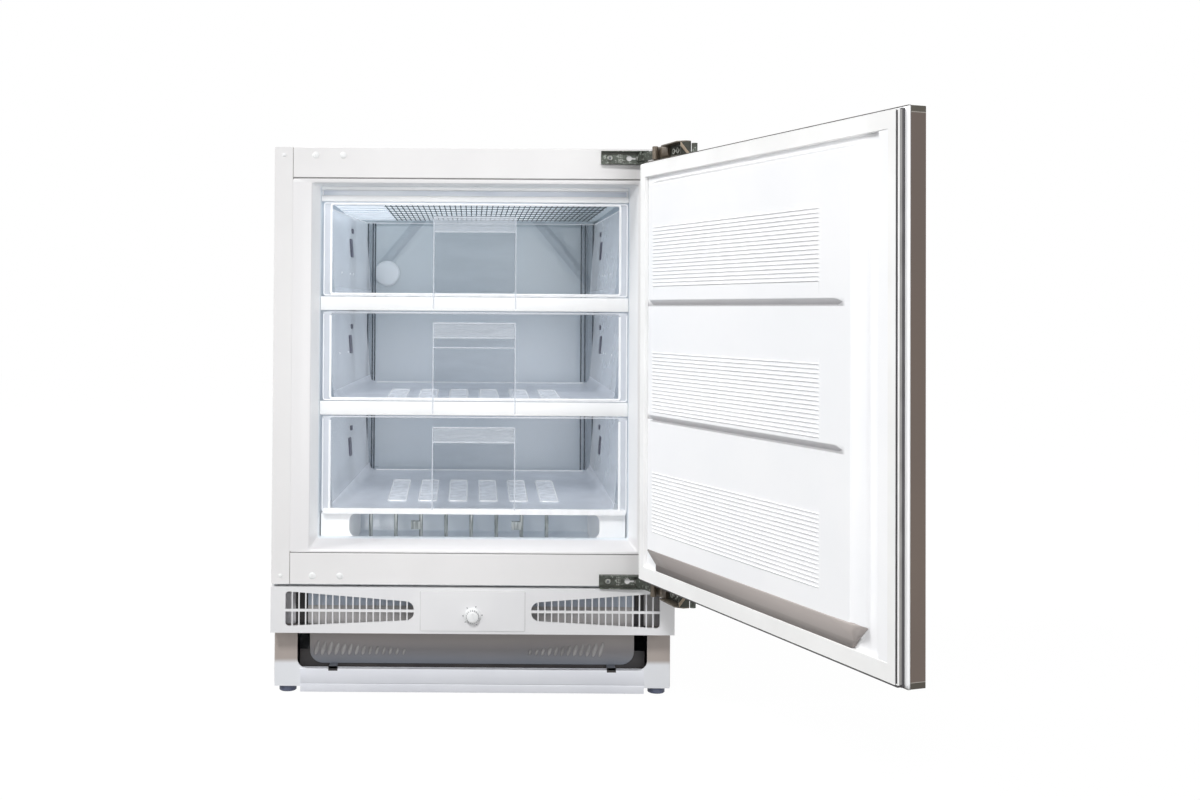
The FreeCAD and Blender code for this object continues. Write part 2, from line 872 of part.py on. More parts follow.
def kick_bar():
    """Plinth bar in front of the frame's sill, folded in at its foot."""
    y1 = kick_setback
    y0 = y1 - kick_gauge
    face = box(-kick_bar_half, kick_bar_half, y0, y1, kick_bar_foot, kick_opening_bottom)
    fold_top = kick_bar_foot + kick_gauge
    shelf = box(-kick_bar_half, kick_bar_half, y1, y1 + kick_bar_fold, kick_bar_foot, fold_top)
    return fuse([face, shelf])


def drip_tray():
    """Grey evaporating tray behind the air opening, hooked over the plinth bar."""

    def bowl(wall):
        """The tray's outline drawn in by a wall, its long lower edges rounded."""
        half = tray_half_width - wall
        low = tray_bottom + wall
        solid = box(-half, half, tray_front + wall, tray_back - wall, low, tray_bottom + tray_height)
        edges = [e for e in solid.Edges if e.BoundBox.ZMax < low + HAIR and e.BoundBox.XLength < HAIR]
        return solid.makeFillet(tray_corner - wall, edges)

    hooks = []
    for side in (-1, 1):
        x = side * hook_x
        low = kick_opening_bottom
        front = kick_setback - kick_gauge
        hooks.append(box(x - hook_width / 2, x + hook_width / 2, front, tray_front, low, low + hook_height))
    return fuse([cut(bowl(0), [bowl(tray_wall)])] + hooks)


def compressor_shell():
    """Welded compressor shell with its foot plate."""
    low = pan_top + grommet_height
    centre = V(compressor_x, compressor_y, low + compressor_foot_gauge)

    def can(wall):
        """The rounded can, drawn in by a wall."""
        height = compressor_height - 2 * wall
        solid = Part.makeCylinder(compressor_radius - wall, height, centre + V(0, 0, wall))
        rims = [e for e in solid.Edges if e.Closed and e.BoundBox.ZLength < HAIR]
        return solid.makeFillet(compressor_rim - wall, rims)

    shell = cut(can(0), [can(compressor_wall)])
    dx, dy = compressor_foot_half
    x, y = compressor_x, compressor_y
    plate = box(x - dx, x + dx, y - dy, y + dy, low, low + compressor_foot_gauge)
    return fuse([shell, plate])


def compressor_grommets():
    """Four rubber grommets between the compressor's foot plate and the base pan."""
    dx, dy = compressor_foot_half
    legs = []
    for sx in (-1, 1):
        for sy in (-1, 1):
            x = compressor_x + sx * (dx - grommet_radius)
            y = compressor_y + sy * (dy - grommet_radius)
            legs.append(rod(grommet_radius, V(x, y, pan_top), V(x, y, pan_top + grommet_height)))
    return group(legs)


def relay_box():
    """Start relay and terminal cover on the compressor's side."""
    dx, dy, dz = relay_size
    x0 = compressor_x + compressor_radius
    z0 = pipe_height - dz / 2
    return box(x0, x0 + dx, compressor_y - dy / 2, compressor_y + dy / 2, z0, z0 + dz)


def condenser_ends():
    """Depth of the condenser tube's front bends and of its rear ends."""
    front = condenser_front - condenser_pitch
    rear = condenser_front + fin_pitch * (fin_count - 1) + condenser_pitch
    return front, rear


def pass_x(i):
    """Where one pass of the condenser's tube lies across the block."""
    return condenser_left + condenser_pitch * (i + 0.5)


def condenser_fins():
    """Stack of upright condenser fins on the base pan, pierced for the tube."""
    x1 = condenser_left + condenser_length
    top = pan_top + fin_height
    fin = box(condenser_left, x1, condenser_front, condenser_front + fin_gauge, pan_top, top)
    holes = []
    for i in range(condenser_passes):
        start = V(pass_x(i), condenser_front, pipe_height)
        holes.append(rod(pipe_radius, start, start + V(0, fin_gauge, 0)))
    fin = cut(fin, holes)
    fins = []
    for i in range(fin_count):
        copy = fin.copy()
        copy.translate(V(0, fin_pitch * i, 0))
        fins.append(copy)
    return group(fins)


def condenser_tube():
    """Serpentine tube through the fins, both ends at the back."""
    front, rear = condenser_ends()
    points = [V(pass_x(0), rear + pipe_bend, pipe_height)]
    y = front
    for i in range(condenser_passes - 1):
        points += [V(pass_x(i), y, pipe_height), V(pass_x(i + 1), y, pipe_height)]
        y = rear if y == front else front
    points.append(V(pass_x(condenser_passes - 1), rear + pipe_bend, pipe_height))
    return bent_bar(points, pipe_radius, condenser_bend)


def filter_drier():
    """Drier cartridge on the condenser's outlet."""
    start = V(pass_x(0), condenser_ends()[1] + pipe_bend, pipe_height)
    body = rod(drier_radius, start, start + V(0, drier_length, 0))
    rims = [e for e in body.Edges if e.Closed and e.BoundBox.YLength < HAIR]
    return body.makeFillet(drier_radius / 2, rims)


def capillary_pipe():
    """Thin pipe from the drier up into the insulation."""
    start = V(pass_x(0), condenser_ends()[1] + pipe_bend + drier_length, pipe_height)
    turn = start + V(0, pipe_lead, 0)
    end = V(turn.x, turn.y, rear_ceiling - sheet)
    return bent_bar([start, turn, end], capillary_radius, capillary_bend)


def discharge_pipe():
    """Pipe from the compressor's side to the condenser's inlet."""
    x0 = pass_x(condenser_passes - 1)
    y0 = condenser_ends()[1] + pipe_bend
    x1 = compressor_x - compressor_radius
    lane = compressor_y + compressor_radius / 2
    middle = x1 - pipe_offset
    points = [
        V(x0, y0, pipe_height),
        V(x0, lane, pipe_height),
        V(middle, lane, pipe_height),
        V(middle, compressor_y, pipe_height),
        V(x1 - pipe_gap, compressor_y, pipe_height),
    ]
    return bent_bar(points, pipe_radius, pipe_bend)


def suction_pipe():
    """Pipe from the compressor's front up into the insulation."""
    y0 = compressor_y - compressor_radius
    start = V(compressor_x, y0 - pipe_gap, pipe_height)
    turn = V(compressor_x, y0 - pipe_lead, pipe_height)
    return bent_bar([start, turn, V(turn.x, turn.y, rear_ceiling - sheet)], pipe_radius, pipe_bend)


def fan_centre():
    """Middle of the fan, behind the condenser block, level with its fins."""
    y = condenser_front + fin_pitch * (fin_count - 1) / 2
    return V(fan_x, y, pan_top + fan_frame / 2)


def fan_shroud():
    """Square fan frame on the base pan, with three arms to the motor's plate."""
    c = fan_centre()
    half = fan_frame / 2
    depth = fan_frame_depth
    frame = box(c.x - depth / 2, c.x + depth / 2, c.y - half, c.y + half, c.z - half, c.z + half)
    bore = rod(fan_radius + fan_tip_clearance, c - V(depth, 0, 0), c + V(depth, 0, 0))
    frame = cut(frame, [bore])
    face = c + V(depth / 2, 0, 0)
    plate = rod(motor_radius, face, face + V(motor_arm, 0, 0))
    arms = []
    for i in range(motor_arms):
        arm = box(face.x, face.x + motor_arm, c.y - motor_arm, c.y + motor_arm, c.z, c.z + half)
        arm.rotate(c, X_AXIS, 360 / motor_arms * i)
        arms.append(arm)
    hole = rod(motor_hole, face, face + V(motor_arm, 0, 0))
    keep = box(face.x - depth, face.x + motor_arm, c.y - half, c.y + half, c.z - half, c.z + half)
    return cut(fuse([frame, plate] + arms).common(keep), [hole])


def motor_face():
    """Centre of the motor's mounting face."""
    return fan_centre() + V(fan_frame_depth / 2 + motor_arm, 0, 0)


def fan_motor():
    """Small motor on the shroud's arms, bored for the fan's shaft."""
    face = motor_face()
    body = rod(motor_radius, face, face + V(motor_length, 0, 0))
    bore = rod(fan_shaft_radius + running_clearance, face, face + V(motor_length / 2, 0, 0))
    return cut(body, [bore])


def fan_rotor():
    """Moulded fan: hub, twisted blades and the shaft that runs in the motor."""
    c = fan_centre()
    hub = rod(fan_hub_radius, c - V(fan_hub_half, 0, 0), c + V(fan_hub_half, 0, 0))
    shaft = rod(fan_shaft_radius, c, motor_face() + V(motor_length / 2 - end_clearance, 0, 0))
    pieces = [hub, shaft]
    chord = min(blade_width, 2 * fan_hub_half / math.sin(math.radians(blade_angle)))
    for i in range(fan_blades):
        blade = box(
            c.x - blade_gauge / 2,
            c.x + blade_gauge / 2,
            c.y - chord / 2,
            c.y + chord / 2,
            c.z + blade_root,
            c.z + fan_radius - blade_tip_gap,
        )
        blade.rotate(c, Z_AXIS, blade_angle)
        blade.rotate(c, X_AXIS, 360 / fan_blades * i)
        pieces.append(blade)
    return fuse(pieces)


def mirrored_level(z):
    """The height on the lower hinge that answers one on the upper hinge."""
    return 2 * door_middle - z


def lower(shape):
    """An upper hinge piece turned over for the lower hinge."""
    return shape.mirror(V(0, 0, door_middle), Z_AXIS)


def hinge_screw_level():
    """Height of the upper bracket's screws."""
    return hinge_bottom + hinge_height / 2


def hinge_bracket():
    """Pressed steel channel on the rail: back plate, two flanges, pivot and screw holes."""
    x0 = bracket_left
    x1 = x0 + bracket_width
    z0 = hinge_bottom
    z1 = z0 + hinge_height
    web = box(x0, x1, -hinge_gauge, 0, z0, z1)
    floor = box(x0, x1, -bracket_depth, 0, z0, z0 + hinge_gauge)
    roof = box(x0, x1, -bracket_depth, 0, z1 - hinge_gauge, z1)
    z = hinge_screw_level()
    holes = [rod(screw_radius, V(x, -hinge_gauge, z), V(x, 0, z)) for x in screw_x]
    pivot = rod(pin_radius, cabinet_pivot + V(0, 0, z0), cabinet_pivot + V(0, 0, z1))
    return cut(fuse([web, floor, roof]), holes + [pivot])


def hinge_screws():
    """Cross-head screws of both brackets, through the rails into the insulation."""
    screws = []
    for z in (hinge_screw_level(), mirrored_level(hinge_screw_level())):
        for x in screw_x:
            seat = V(x, -hinge_gauge, z)
            head = rod(screw_head, seat, seat - V(0, screw_head_height, 0))
            shank = rod(screw_radius, seat, V(x, screw_length, z))
            screws.append(fuse([head, shank]))
    return group(screws)


def cabinet_pins():
    """Pivot pins of both hinges on the cabinet's side."""
    foot = cabinet_pivot + V(0, 0, hinge_bottom)
    upper = rod(pin_radius, foot, foot + V(0, 0, hinge_height))
    return group([upper, lower(upper)])


def hinge_link():
    """Link of the upper hinge, drawn for the closed door: a bar with two eyes."""
    z0 = hinge_bottom + hinge_gauge + link_play
    z1 = hinge_bottom + hinge_height - hinge_gauge - link_play
    lift = V(0, 0, z0)
    rise = V(0, 0, z1 - z0)
    eyes = [rod(link_radius, point + lift, point + lift + rise) for point in (cabinet_pivot, door_pivot)]
    along = (door_pivot - cabinet_pivot).normalize()
    side = along.cross(Z_AXIS) * link_radius
    corners = [cabinet_pivot + side, door_pivot + side, door_pivot - side, cabinet_pivot - side]
    bar = prism([corner + lift for corner in corners], rise)
    hole_radius = pin_radius + running_clearance
    holes = [rod(hole_radius, point + lift, point + lift + rise) for point in (cabinet_pivot, door_pivot)]
    return cut(fuse(eyes + [bar]), holes)


def housing_levels():
    """Lowest and highest level of the upper hinge's housing on the door."""
    return door_top, hinge_bottom + hinge_height


def hinge_housing():
    """Steel channel on the door's end: outer web and two flanges, open towards the cabinet."""
    z0, z1 = housing_levels()
    x1 = door_half
    x0 = x1 - housing_length
    y0 = door_front
    y1 = liner_back - housing_mouth
    web = box(x0, x1, y0, y0 + hinge_gauge, z0, z1)
    floor = box(x0, x1, y0, y1, z0, z0 + hinge_gauge)
    roof = box(x0, x1, y0, y1, z1 - hinge_gauge, z1)
    end = box(x0, x0 + hinge_gauge, y0, y1, z0, z1)
    pivot = rod(pin_radius, door_pivot + V(0, 0, z0), door_pivot + V(0, 0, z1))
    return cut(fuse([web, floor, roof, end]), [pivot])


def door_pins():
    """Pivot pins of both hinges on the door's side."""
    z0, z1 = housing_levels()
    upper = rod(pin_radius, door_pivot + V(0, 0, z0), door_pivot + V(0, 0, z1))
    return group([upper, lower(upper)])


def door_studs():
    """Adjusting studs on both door ends, which hold the kitchen front."""
    seat = V(door_half - door_stud_x, (door_front + liner_back) / 2, door_top)
    flange = rod(door_stud_flange, seat, seat + V(0, 0, door_stud_flange_height))
    stud = rod(door_stud_radius, seat, seat + V(0, 0, door_stud_height))
    upper = fuse([flange, stud])
    return group([upper, lower(upper)])


def door_panel():
    """Steel door skin: outer face and two folded edges."""
    z0 = door_bottom + cap_height
    z1 = door_top - cap_height
    skin = box(-door_half, door_half, door_front, liner_back, z0, z1)
    hollow = box(-door_half + sheet, door_half - sheet, door_front + sheet, liner_back, z0, z1)
    return cut(skin, [hollow])


def door_cap():
    """Moulded cap that closes the door's upper end."""
    return box(-door_half, door_half, door_front, liner_back, door_top - cap_height, door_top)


def plug_solid(wall):
    """Raised plug of the door's liner as a solid, drawn in by a wall."""
    base_y = gasket_back - (door_liner_gauge if wall else 0)
    top_y = gasket_back + plug_height - wall
    base_x = (-door_half + plug_free_inset + wall, door_half - plug_hinge_inset - wall)
    base_z = (door_bottom + plug_bottom_inset + wall, door_top - plug_top_inset - wall)
    top_x = (base_x[0] + plug_free_lean, base_x[1] - plug_hinge_lean)
    top_z = (base_z[0] + plug_bottom_lean, base_z[1] - plug_top_lean)
    return frustum((base_y, base_x, base_z), (top_y, top_x, top_z))


def door_grooves():
    """Two level grooves across the plug, V-shaped, between the drawers' heights."""
    face = gasket_back + plug_height
    x0 = -door_half + plug_free_inset + plug_free_lean
    x1 = door_half - plug_hinge_inset
    cutters = []
    for share in groove_shares:
        z = door_bottom + share * door_height
        outline = [
            V(x0, face, z + groove_height / 2),
            V(x0, face - groove_depth, z - groove_height / 4),
            V(x0, face, z - groove_height / 2),
        ]
        cutters.append(prism(outline, V(x1 - x0, 0, 0)))
    return cutters


def door_ribs():
    """Three fields of fine level ribs on the plug's face."""
    face = gasket_back + plug_height
    x0 = rib_end - door_half
    x1 = door_half - rib_start
    ribs = []
    for share in rib_shares:
        for i in range(rib_count):
            z = door_bottom + share * door_height + rib_pitch * i
            ribs.append(box(x0, x1, face, face + rib_proud, z, z + rib_gauge))
    return ribs


def door_liner():
    """White moulded inner face of the door: flange, raised plug, grooves and ribs."""
    flange = box(-door_half, door_half, liner_back, gasket_back, door_bottom, door_top)
    hollow = plug_solid(groove_depth + door_liner_gauge)
    shell = cut(fuse([flange, plug_solid(0)]), [hollow] + door_grooves())
    return fuse([shell] + door_ribs())


def door_foam():
    """Insulation inside the door's skin, caps and liner."""
    z0 = door_bottom + cap_height
    z1 = door_top - cap_height
    block = box(-door_half + sheet, door_half - sheet, door_front + sheet, liner_back, z0, z1)
    return fuse([block, plug_solid(groove_depth + door_liner_gauge)])


def door_gasket():
    """Magnetic sealing strip round the door's flange."""
    x1 = door_half - gasket_inset
    z0 = door_bottom + gasket_inset
    z1 = door_top - gasket_inset
    front = -gasket_clearance
    ring = box(-x1, x1, gasket_back, front, z0, z1)
    w = gasket_width
    return cut(ring, [box(-x1 + w, x1 - w, gasket_back, front, z0 + w, z1 - w)])


os.makedirs("parts", exist_ok=True)

# Cabinet
side = side_panel()
save("left_side_panel", cut(side, [stile_cap_hole(z) for z in rail_plug_levels()]))
save("right_side_panel", mirrored_x(side))
lid = cabinet_height - sheet
save("top_panel", box(-inner_half, inner_half, rail_gauge, cabinet_depth, lid, cabinet_height))
save("rear_panel", box(-inner_half, inner_half, back, cabinet_depth, rear_ceiling, lid))
save("upper_rail", rail(upper_rail_bottom, rail_plug_levels()[0], hinge_screw_level()))
save("lower_rail", rail(lower_rail_bottom, rail_plug_levels()[1], mirrored_level(hinge_screw_level())))
save("rail_plugs", rail_plugs())
save("inner_liner", inner_liner())
save("cabinet_foam", cabinet_foam())
save("bay_ceiling", bay_ceiling())
save("base_pan", base_pan())
save("rear_cover", rear_cover())
save("cable_gland", cable_gland())
save("rear_feet", rear_feet())
save("sensor_cap", sensor_cap())

# Cooling shelves
save("shelf_trims", group([shelf_trim(top, height) for top, height in zip(trim_top, trim_height)]))
save("evaporator_tubes", group([evaporator_tube(z) for z in shelf_levels()]))
save("evaporator_wires", group([evaporator_wires(z) for z in shelf_levels()]))
save("bottom_shelf", group(shelf_rods() + rod_clips()))

# Grille, thermostat, kick and tray
save("vent_grille", vent_grille())
save("control_plate", control_plate())
save("thermostat_body", thermostat_body())
save("thermostat_shaft", thermostat_shaft())
save("thermostat_knob", thermostat_knob())
save("kick_frame", kick_frame())
save("kick_bar", kick_bar())
save("drip_tray", drip_tray())
save("left_foot", front_foot(-1))
save("right_foot", front_foot(1))

# Machinery
save("compressor_shell", compressor_shell())
save("compressor_grommets", compressor_grommets())
save("relay_box", relay_box())
save("condenser_fins", condenser_fins())
save("condenser_tube", condenser_tube())
save("filter_drier", filter_drier())
save("refrigerant_pipes", group([capillary_pipe(), discharge_pipe(), suction_pipe()]))
save("fan_shroud", fan_shroud())
save("fan_motor", fan_motor())
save("fan_rotor", fan_rotor())

# Drawers
for i, drawer in enumerate(("top", "middle", "bottom")):
    floor = drawer_floors[i]
    height = trim_top[i] - trim_height[i] - drawer_head_gap - floor - drawer_lift
    save(drawer + "_drawer_front", drawer_front(floor, height))
    save(drawer + "_drawer_tub", drawer_tub(floor, height))

# Hinges
bracket = hinge_bracket()
link = turned_link(hinge_link())
housing = swung(hinge_housing())
save("upper_hinge_bracket", bracket)
save("lower_hinge_bracket", lower(bracket))
save("hinge_screws", hinge_screws())
save("cabinet_pins", cabinet_pins())
save("upper_hinge_link", link)
save("lower_hinge_link", lower(link))
save("upper_hinge_housing", housing)
save("lower_hinge_housing", lower(housing))
save("door_pins", swung(door_pins()))
save("door_studs", swung(door_studs()))

# Door
save("door_panel", swung(door_panel()))
save("door_caps", swung(group([door_cap(), lower(door_cap())])))
save("door_foam", swung(door_foam()))
save("door_liner", swung(door_liner()))
save("door_gasket", swung(door_gasket()))
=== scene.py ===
import bmesh
import bpy
import math
import numpy as np
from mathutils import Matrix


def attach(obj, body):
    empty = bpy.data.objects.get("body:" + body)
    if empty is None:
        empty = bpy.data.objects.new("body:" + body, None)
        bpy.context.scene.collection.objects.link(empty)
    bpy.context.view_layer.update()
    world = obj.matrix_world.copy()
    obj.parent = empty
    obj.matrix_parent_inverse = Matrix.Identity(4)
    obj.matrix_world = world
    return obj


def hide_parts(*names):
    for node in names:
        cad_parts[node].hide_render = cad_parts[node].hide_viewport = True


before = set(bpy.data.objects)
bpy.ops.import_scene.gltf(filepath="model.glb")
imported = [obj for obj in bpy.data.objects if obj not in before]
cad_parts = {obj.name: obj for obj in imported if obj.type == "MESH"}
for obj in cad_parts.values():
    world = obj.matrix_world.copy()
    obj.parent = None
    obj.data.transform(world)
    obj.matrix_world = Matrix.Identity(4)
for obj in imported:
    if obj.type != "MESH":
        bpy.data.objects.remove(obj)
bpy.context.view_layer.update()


# Cabinet shell: side panels with folded stiles, and a top panel.
# Pre-painted sheet steel, warm white, with the faint orange peel of a roller coat.
# The panels are folded and hooked into each other before the foam is poured.
class Tone:
    """A value in a node tree; sums and products of tones become Math nodes."""

    def __init__(self, nodes, socket):
        self.nodes = nodes
        self.socket = socket

    def math(self, operation, first, second):
        return self.nodes.add("ShaderNodeMath", {"operation": operation}, {0: first, 1: second})

    def __add__(self, other):
        return self.math("ADD", self, other)

    def __sub__(self, other):
        return self.math("SUBTRACT", self, other)

    def __rsub__(self, other):
        return self.math("SUBTRACT", other, self)

    def __mul__(self, other):
        return self.math("MULTIPLY", self, other)

    __radd__ = __add__
    __rmul__ = __mul__


class Nodes:
    """A node tree, filled through one method."""

    def __init__(self, tree):
        self.tree = tree

    def add(self, kind, settings, sockets, output=0):
        """Adds a node: its settings first, then the values or links of its sockets."""
        made = self.tree.nodes.new(kind)
        for setting, value in settings.items():
            setattr(made, setting, value)
        for socket, value in sockets.items():
            self.plug(made.inputs[socket], value)
        return Tone(self, made.outputs[output])

    def plug(self, socket, value):
        """Links a tone or sets a value; a colour of three numbers is one read off a screen, from
        0 to 255, and ((value / 255 + 0.055) / 1.055) ** 2.4 makes it linear."""
        if isinstance(value, Tone):
            self.tree.links.new(value.socket, socket)
        elif socket.type == "RGBA" and len(value) == 3:
            socket.default_value = [((part / 255 + 0.055) / 1.055) ** 2.4 for part in value] + [1.0]
        else:
            socket.default_value = value


class Finish(Nodes):
    """One material: a Principled shader and the nodes that feed it."""

    def __init__(self, name, colour, roughness, **fixed):
        self.material = bpy.data.materials.new(name)
        self.material.use_nodes = True
        super().__init__(self.material.node_tree)
        self.shader = self.tree.nodes["Principled BSDF"]
        self.place = self.add("ShaderNodeTexCoord", {}, {}, "Object")
        self.colour = colour
        self.roughness = roughness
        self.feed("Base Color", colour)
        self.feed("Roughness", roughness)
        for socket, value in fixed.items():
            self.feed(socket.replace("_", " "), value)

    def feed(self, socket, value):
        self.plug(self.shader.inputs[socket], value)

    def noise(self, scale, detail=2.0, stretch=(1.0, 1.0, 1.0)):
        """Cloudy noise from 0 to 1 on the piece's own place, stretched along the axes."""
        place = self.add("ShaderNodeMapping", {}, {"Vector": self.place, "Scale": stretch})
        return self.add("ShaderNodeTexNoise", {}, {"Vector": place, "Scale": scale, "Detail": detail}, "Fac")

    def cells(self, scale, output):
        """Cell pattern: the distance to the nearest of many scattered points, or a colour for each."""
        return self.add("ShaderNodeTexVoronoi", {}, {"Vector": self.place, "Scale": scale}, output)

    def axis(self, letter):
        return self.add("ShaderNodeSeparateXYZ", {}, {"Vector": self.place}, letter)

    def between(self, value, low, high):
        """0 below low, 1 above high and a smooth rise between them."""
        settings = {"interpolation_type": "SMOOTHSTEP"}
        return self.add("ShaderNodeMapRange", settings, {"Value": value, "From Min": low, "From Max": high})

    def band(self, value, rise, fall):
        """1 from a rise to a fall, each given as two values, and 0 outside them."""
        return self.between(value, *rise) * (1.0 - self.between(value, *fall))

    def mix(self, mask, first, second):
        return self.add("ShaderNodeMix", {"data_type": "RGBA"}, {0: mask, 6: first, 7: second}, 2)

    def relief(self, height, strength, depth):
        """Bumps of a depth in millimetres."""
        bump = {"Strength": strength, "Distance": depth / 1000, "Height": height}
        self.feed("Normal", self.add("ShaderNodeBump", {}, bump))
        return self

    def grain(self, scale, strength, depth, detail=2.0, stretch=(1.0, 1.0, 1.0)):
        """A fine relief of cloudy noise."""
        return self.relief(self.noise(scale, detail, stretch), strength, depth)

    def mottle(self, other, scale, low, high, gloss=0.0, stretch=(1.0, 1.0, 1.0)):
        """Drifts between the base colour and another one, with the gloss drifting along."""
        cloud = self.noise(scale, 4.0, stretch)
        self.feed("Base Color", self.mix(self.between(cloud, low, high), self.colour, other))
        if gloss:
            self.feed("Roughness", cloud * gloss + (self.roughness - gloss / 2))
        return self


def dress(finish, *nodes):
    """Puts a finish on CAD nodes that are shown as they are."""
    for node in nodes:
        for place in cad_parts[node].material_slots:
            place.material = finish.material


painted_steel = Finish("white painted steel", (239, 238, 238), 0.36)
painted_steel.mottle((233, 232, 232), 5.0, 0.3, 0.7, 0.08).grain(700.0, 0.05, 0.4)
dress(painted_steel, "left_side_panel", "right_side_panel", "top_panel")


# Blanking plugs: small domed caps of white plastic in the rails' spare hinge holes.
# Each is a thin mushroom head on a snap stem, pushed in from the front.
# The two smallest close the holes in the left stile.
def loft(rows, around=True, ends=True, ring=False):
    """Quads between neighbouring rows of points; each row may close on itself, the first
    and last row may each get one closing face, or may be joined to each other as a ring."""
    rows = np.asarray(rows, float)
    count, width = rows.shape[:2]
    down = np.arange(count if ring else count - 1)
    across = np.arange(width if around else width - 1)
    i, j = np.meshgrid(down, across, indexing="ij")
    i2, j2 = (i + 1) % count, (j + 1) % width
    quads = np.stack([i * width + j, i * width + j2, i2 * width + j2, i2 * width + j], axis=-1)
    faces = quads.reshape(-1, 4).tolist()
    if ends and not ring:
        faces.append(np.arange(width)[::-1].tolist())
        faces.append(((count - 1) * width + np.arange(width)).tolist())
    return rows.reshape(-1, 3), faces


def turned(centre, axis, profile, steps=24):
    """A turned form: each point (radius, height) of the profile runs round the axis,
    centre + height * axis + radius * (cos a * u + sin a * v)."""
    axis = np.asarray(axis, float) / np.linalg.norm(axis)
    u = np.cross(axis, (0.0, 0.0, 1.0) if abs(axis[2]) < 0.9 else (1.0, 0.0, 0.0))
    u /= np.linalg.norm(u)
    v = np.cross(axis, u)
    a = np.linspace(0, 2 * np.pi, steps, endpoint=False)[:, None]
    spokes = np.cos(a) * u + np.sin(a) * v
    profile = np.asarray(profile, float)
    return loft(np.asarray(centre) + profile[:, 1, None, None] * axis + profile[:, 0, None, None] * spokes)


def build(name, body, finish, patches, replaces=(), closed=True, bevel=0.0, wall=0.0):
    """Joins patches of points and faces, in millimetres, into one piece and lets it ride on a body."""
    starts = np.cumsum([0] + [len(points) for points, _ in patches])
    points = np.concatenate([points for points, _ in patches]) / 1000
    faces = [[int(corner + start) for corner in face]
             for (_, part), start in zip(patches, starts) for face in part]
    mesh = bpy.data.meshes.new(name)
    mesh.from_pydata(points.tolist(), [], faces)
    if closed:
        work = bmesh.new()
        work.from_mesh(mesh)
        bmesh.ops.recalc_face_normals(work, faces=work.faces)
        work.to_mesh(mesh)
        work.free()
    mesh.polygons.foreach_set("use_smooth", np.ones(len(mesh.polygons), bool))
    mesh.set_sharp_from_angle(angle=math.radians(35.0))
    mesh.materials.append(finish.material)
    piece = bpy.data.objects.new(name, mesh)
    bpy.context.scene.collection.objects.link(piece)
    if wall:
        thick = piece.modifiers.new("wall", "SOLIDIFY")
        thick.thickness = wall / 1000
        thick.offset = -1.0
    if bevel:
        edge = piece.modifiers.new("edge", "BEVEL")
        edge.width = bevel / 1000
        edge.segments = 2
        edge.limit_method = "ANGLE"
        edge.angle_limit = math.radians(40)
    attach(piece, body)
    if replaces:
        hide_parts(*replaces)


moulded_white = Finish("moulded white plastic", (240, 241, 241), 0.42)
moulded_white.mottle((234, 235, 236), 9.0, 0.3, 0.7, 0.06).grain(1600.0, 0.05, 0.3)
to_front = (0, -1, 0)
plug_heights = (808.0, 183.0)
plug_places = [(x, z, 5.0) for z in plug_heights for x in (-238.0, -197.0)]
plug_places += [(-285.0, z, 3.0) for z in plug_heights]
dome = np.array([(0.02, 1.2), (0.35, 1.15), (0.7, 0.9), (0.92, 0.5), (1.0, 0.0), (1.0, -0.6)])
plugs = [turned((x, 0.0, z), to_front, dome * (radius, 1.0)) for x, z, radius in plug_places]
build("rail_plug_caps", "cabinet", moulded_white, plugs, ["rail_plugs"])


# Front rails: two folded strips of painted steel between the stiles, above and below the mouth.
# Their edges are turned back, and a grey sealing tape shows in the narrow joint to the liner.
# The hinge brackets are screwed to their right ends.
def prism(plan, z0, z1):
    """An outline of (x, y) points carried straight up from z0 to z1."""
    return loft([np.column_stack([plan, np.full(len(plan), float(z))]) for z in (z0, z1)])


def block(x0, x1, y0, y1, z0, z1):
    """A bar with square section carried along z."""
    return prism(np.array([(x0, y0), (x1, y0), (x1, y1), (x0, y1)], float), z0, z1)


rail_half, tape_half = 271.4, 272.0
for rail, rail_low, rail_high in (("upper_rail", 775.0, 820.0), ("lower_rail", 171.0, 216.8)):
    build(rail + "_strip", "cabinet", painted_steel,
          [block(-rail_half, rail_half, 0.0, 1.8, rail_low, rail_high)], [rail], bevel=0.7)
sealing_tape = Finish("grey sealing tape", (150, 148, 148), 0.7)
sealing_tape.mottle((160, 158, 158), 60.0, 0.35, 0.7).grain(700.0, 0.1, 0.4)
tape = [block(-tape_half, tape_half, 1.9, 2.6, low, high) for low, high in ((771.0, 820.0), (171.0, 220.0))]
build("rail_tape", "cabinet", sealing_tape, tape)


# Inner liner: one white sheet of plastic, drawn into a mould by vacuum.
# It has a flange behind the gasket, a bevelled mouth, a step over the machine bay
# and a back wall with a sunk panel. The flange snaps behind the stiles.
def rounded(x0, x1, z0, z1, radius, steps=8, fill=0):
    """A rectangle with quarter-circle corners, once round, as (x, z) points; each straight
    side may be cut into more steps."""
    a = np.linspace(0, np.pi / 2, steps)
    corners = [(x1, z1, 0.0), (x0, z1, np.pi / 2), (x0, z0, np.pi), (x1, z0, 1.5 * np.pi)]
    turns = []
    for x, z, start in corners:
        centre = np.array([x + (-radius if x == x1 else radius), z + (-radius if z == z1 else radius)])
        turns.append(centre + radius * np.stack([np.cos(a + start), np.sin(a + start)], axis=1))
    share = (np.arange(fill) + 1.0)[:, None] / (fill + 1)
    sides = [turn[-1] + (turns[(i + 1) % 4][0] - turn[-1]) * share for i, turn in enumerate(turns)]
    return np.concatenate([part for pair in zip(turns, sides) for part in pair])


def upright(loop, y):
    """Stands a loop of (x, z) points at one depth y."""
    return np.stack([loop[:, 0], np.full(len(loop), float(y)), loop[:, 1]], axis=1)


panel_centre, panel_half, panel_corner = (8.0, 510.0), (178.0, 204.0), 25.0
band_across, band_up, band_reach = 0.77, 0.638, 554.93


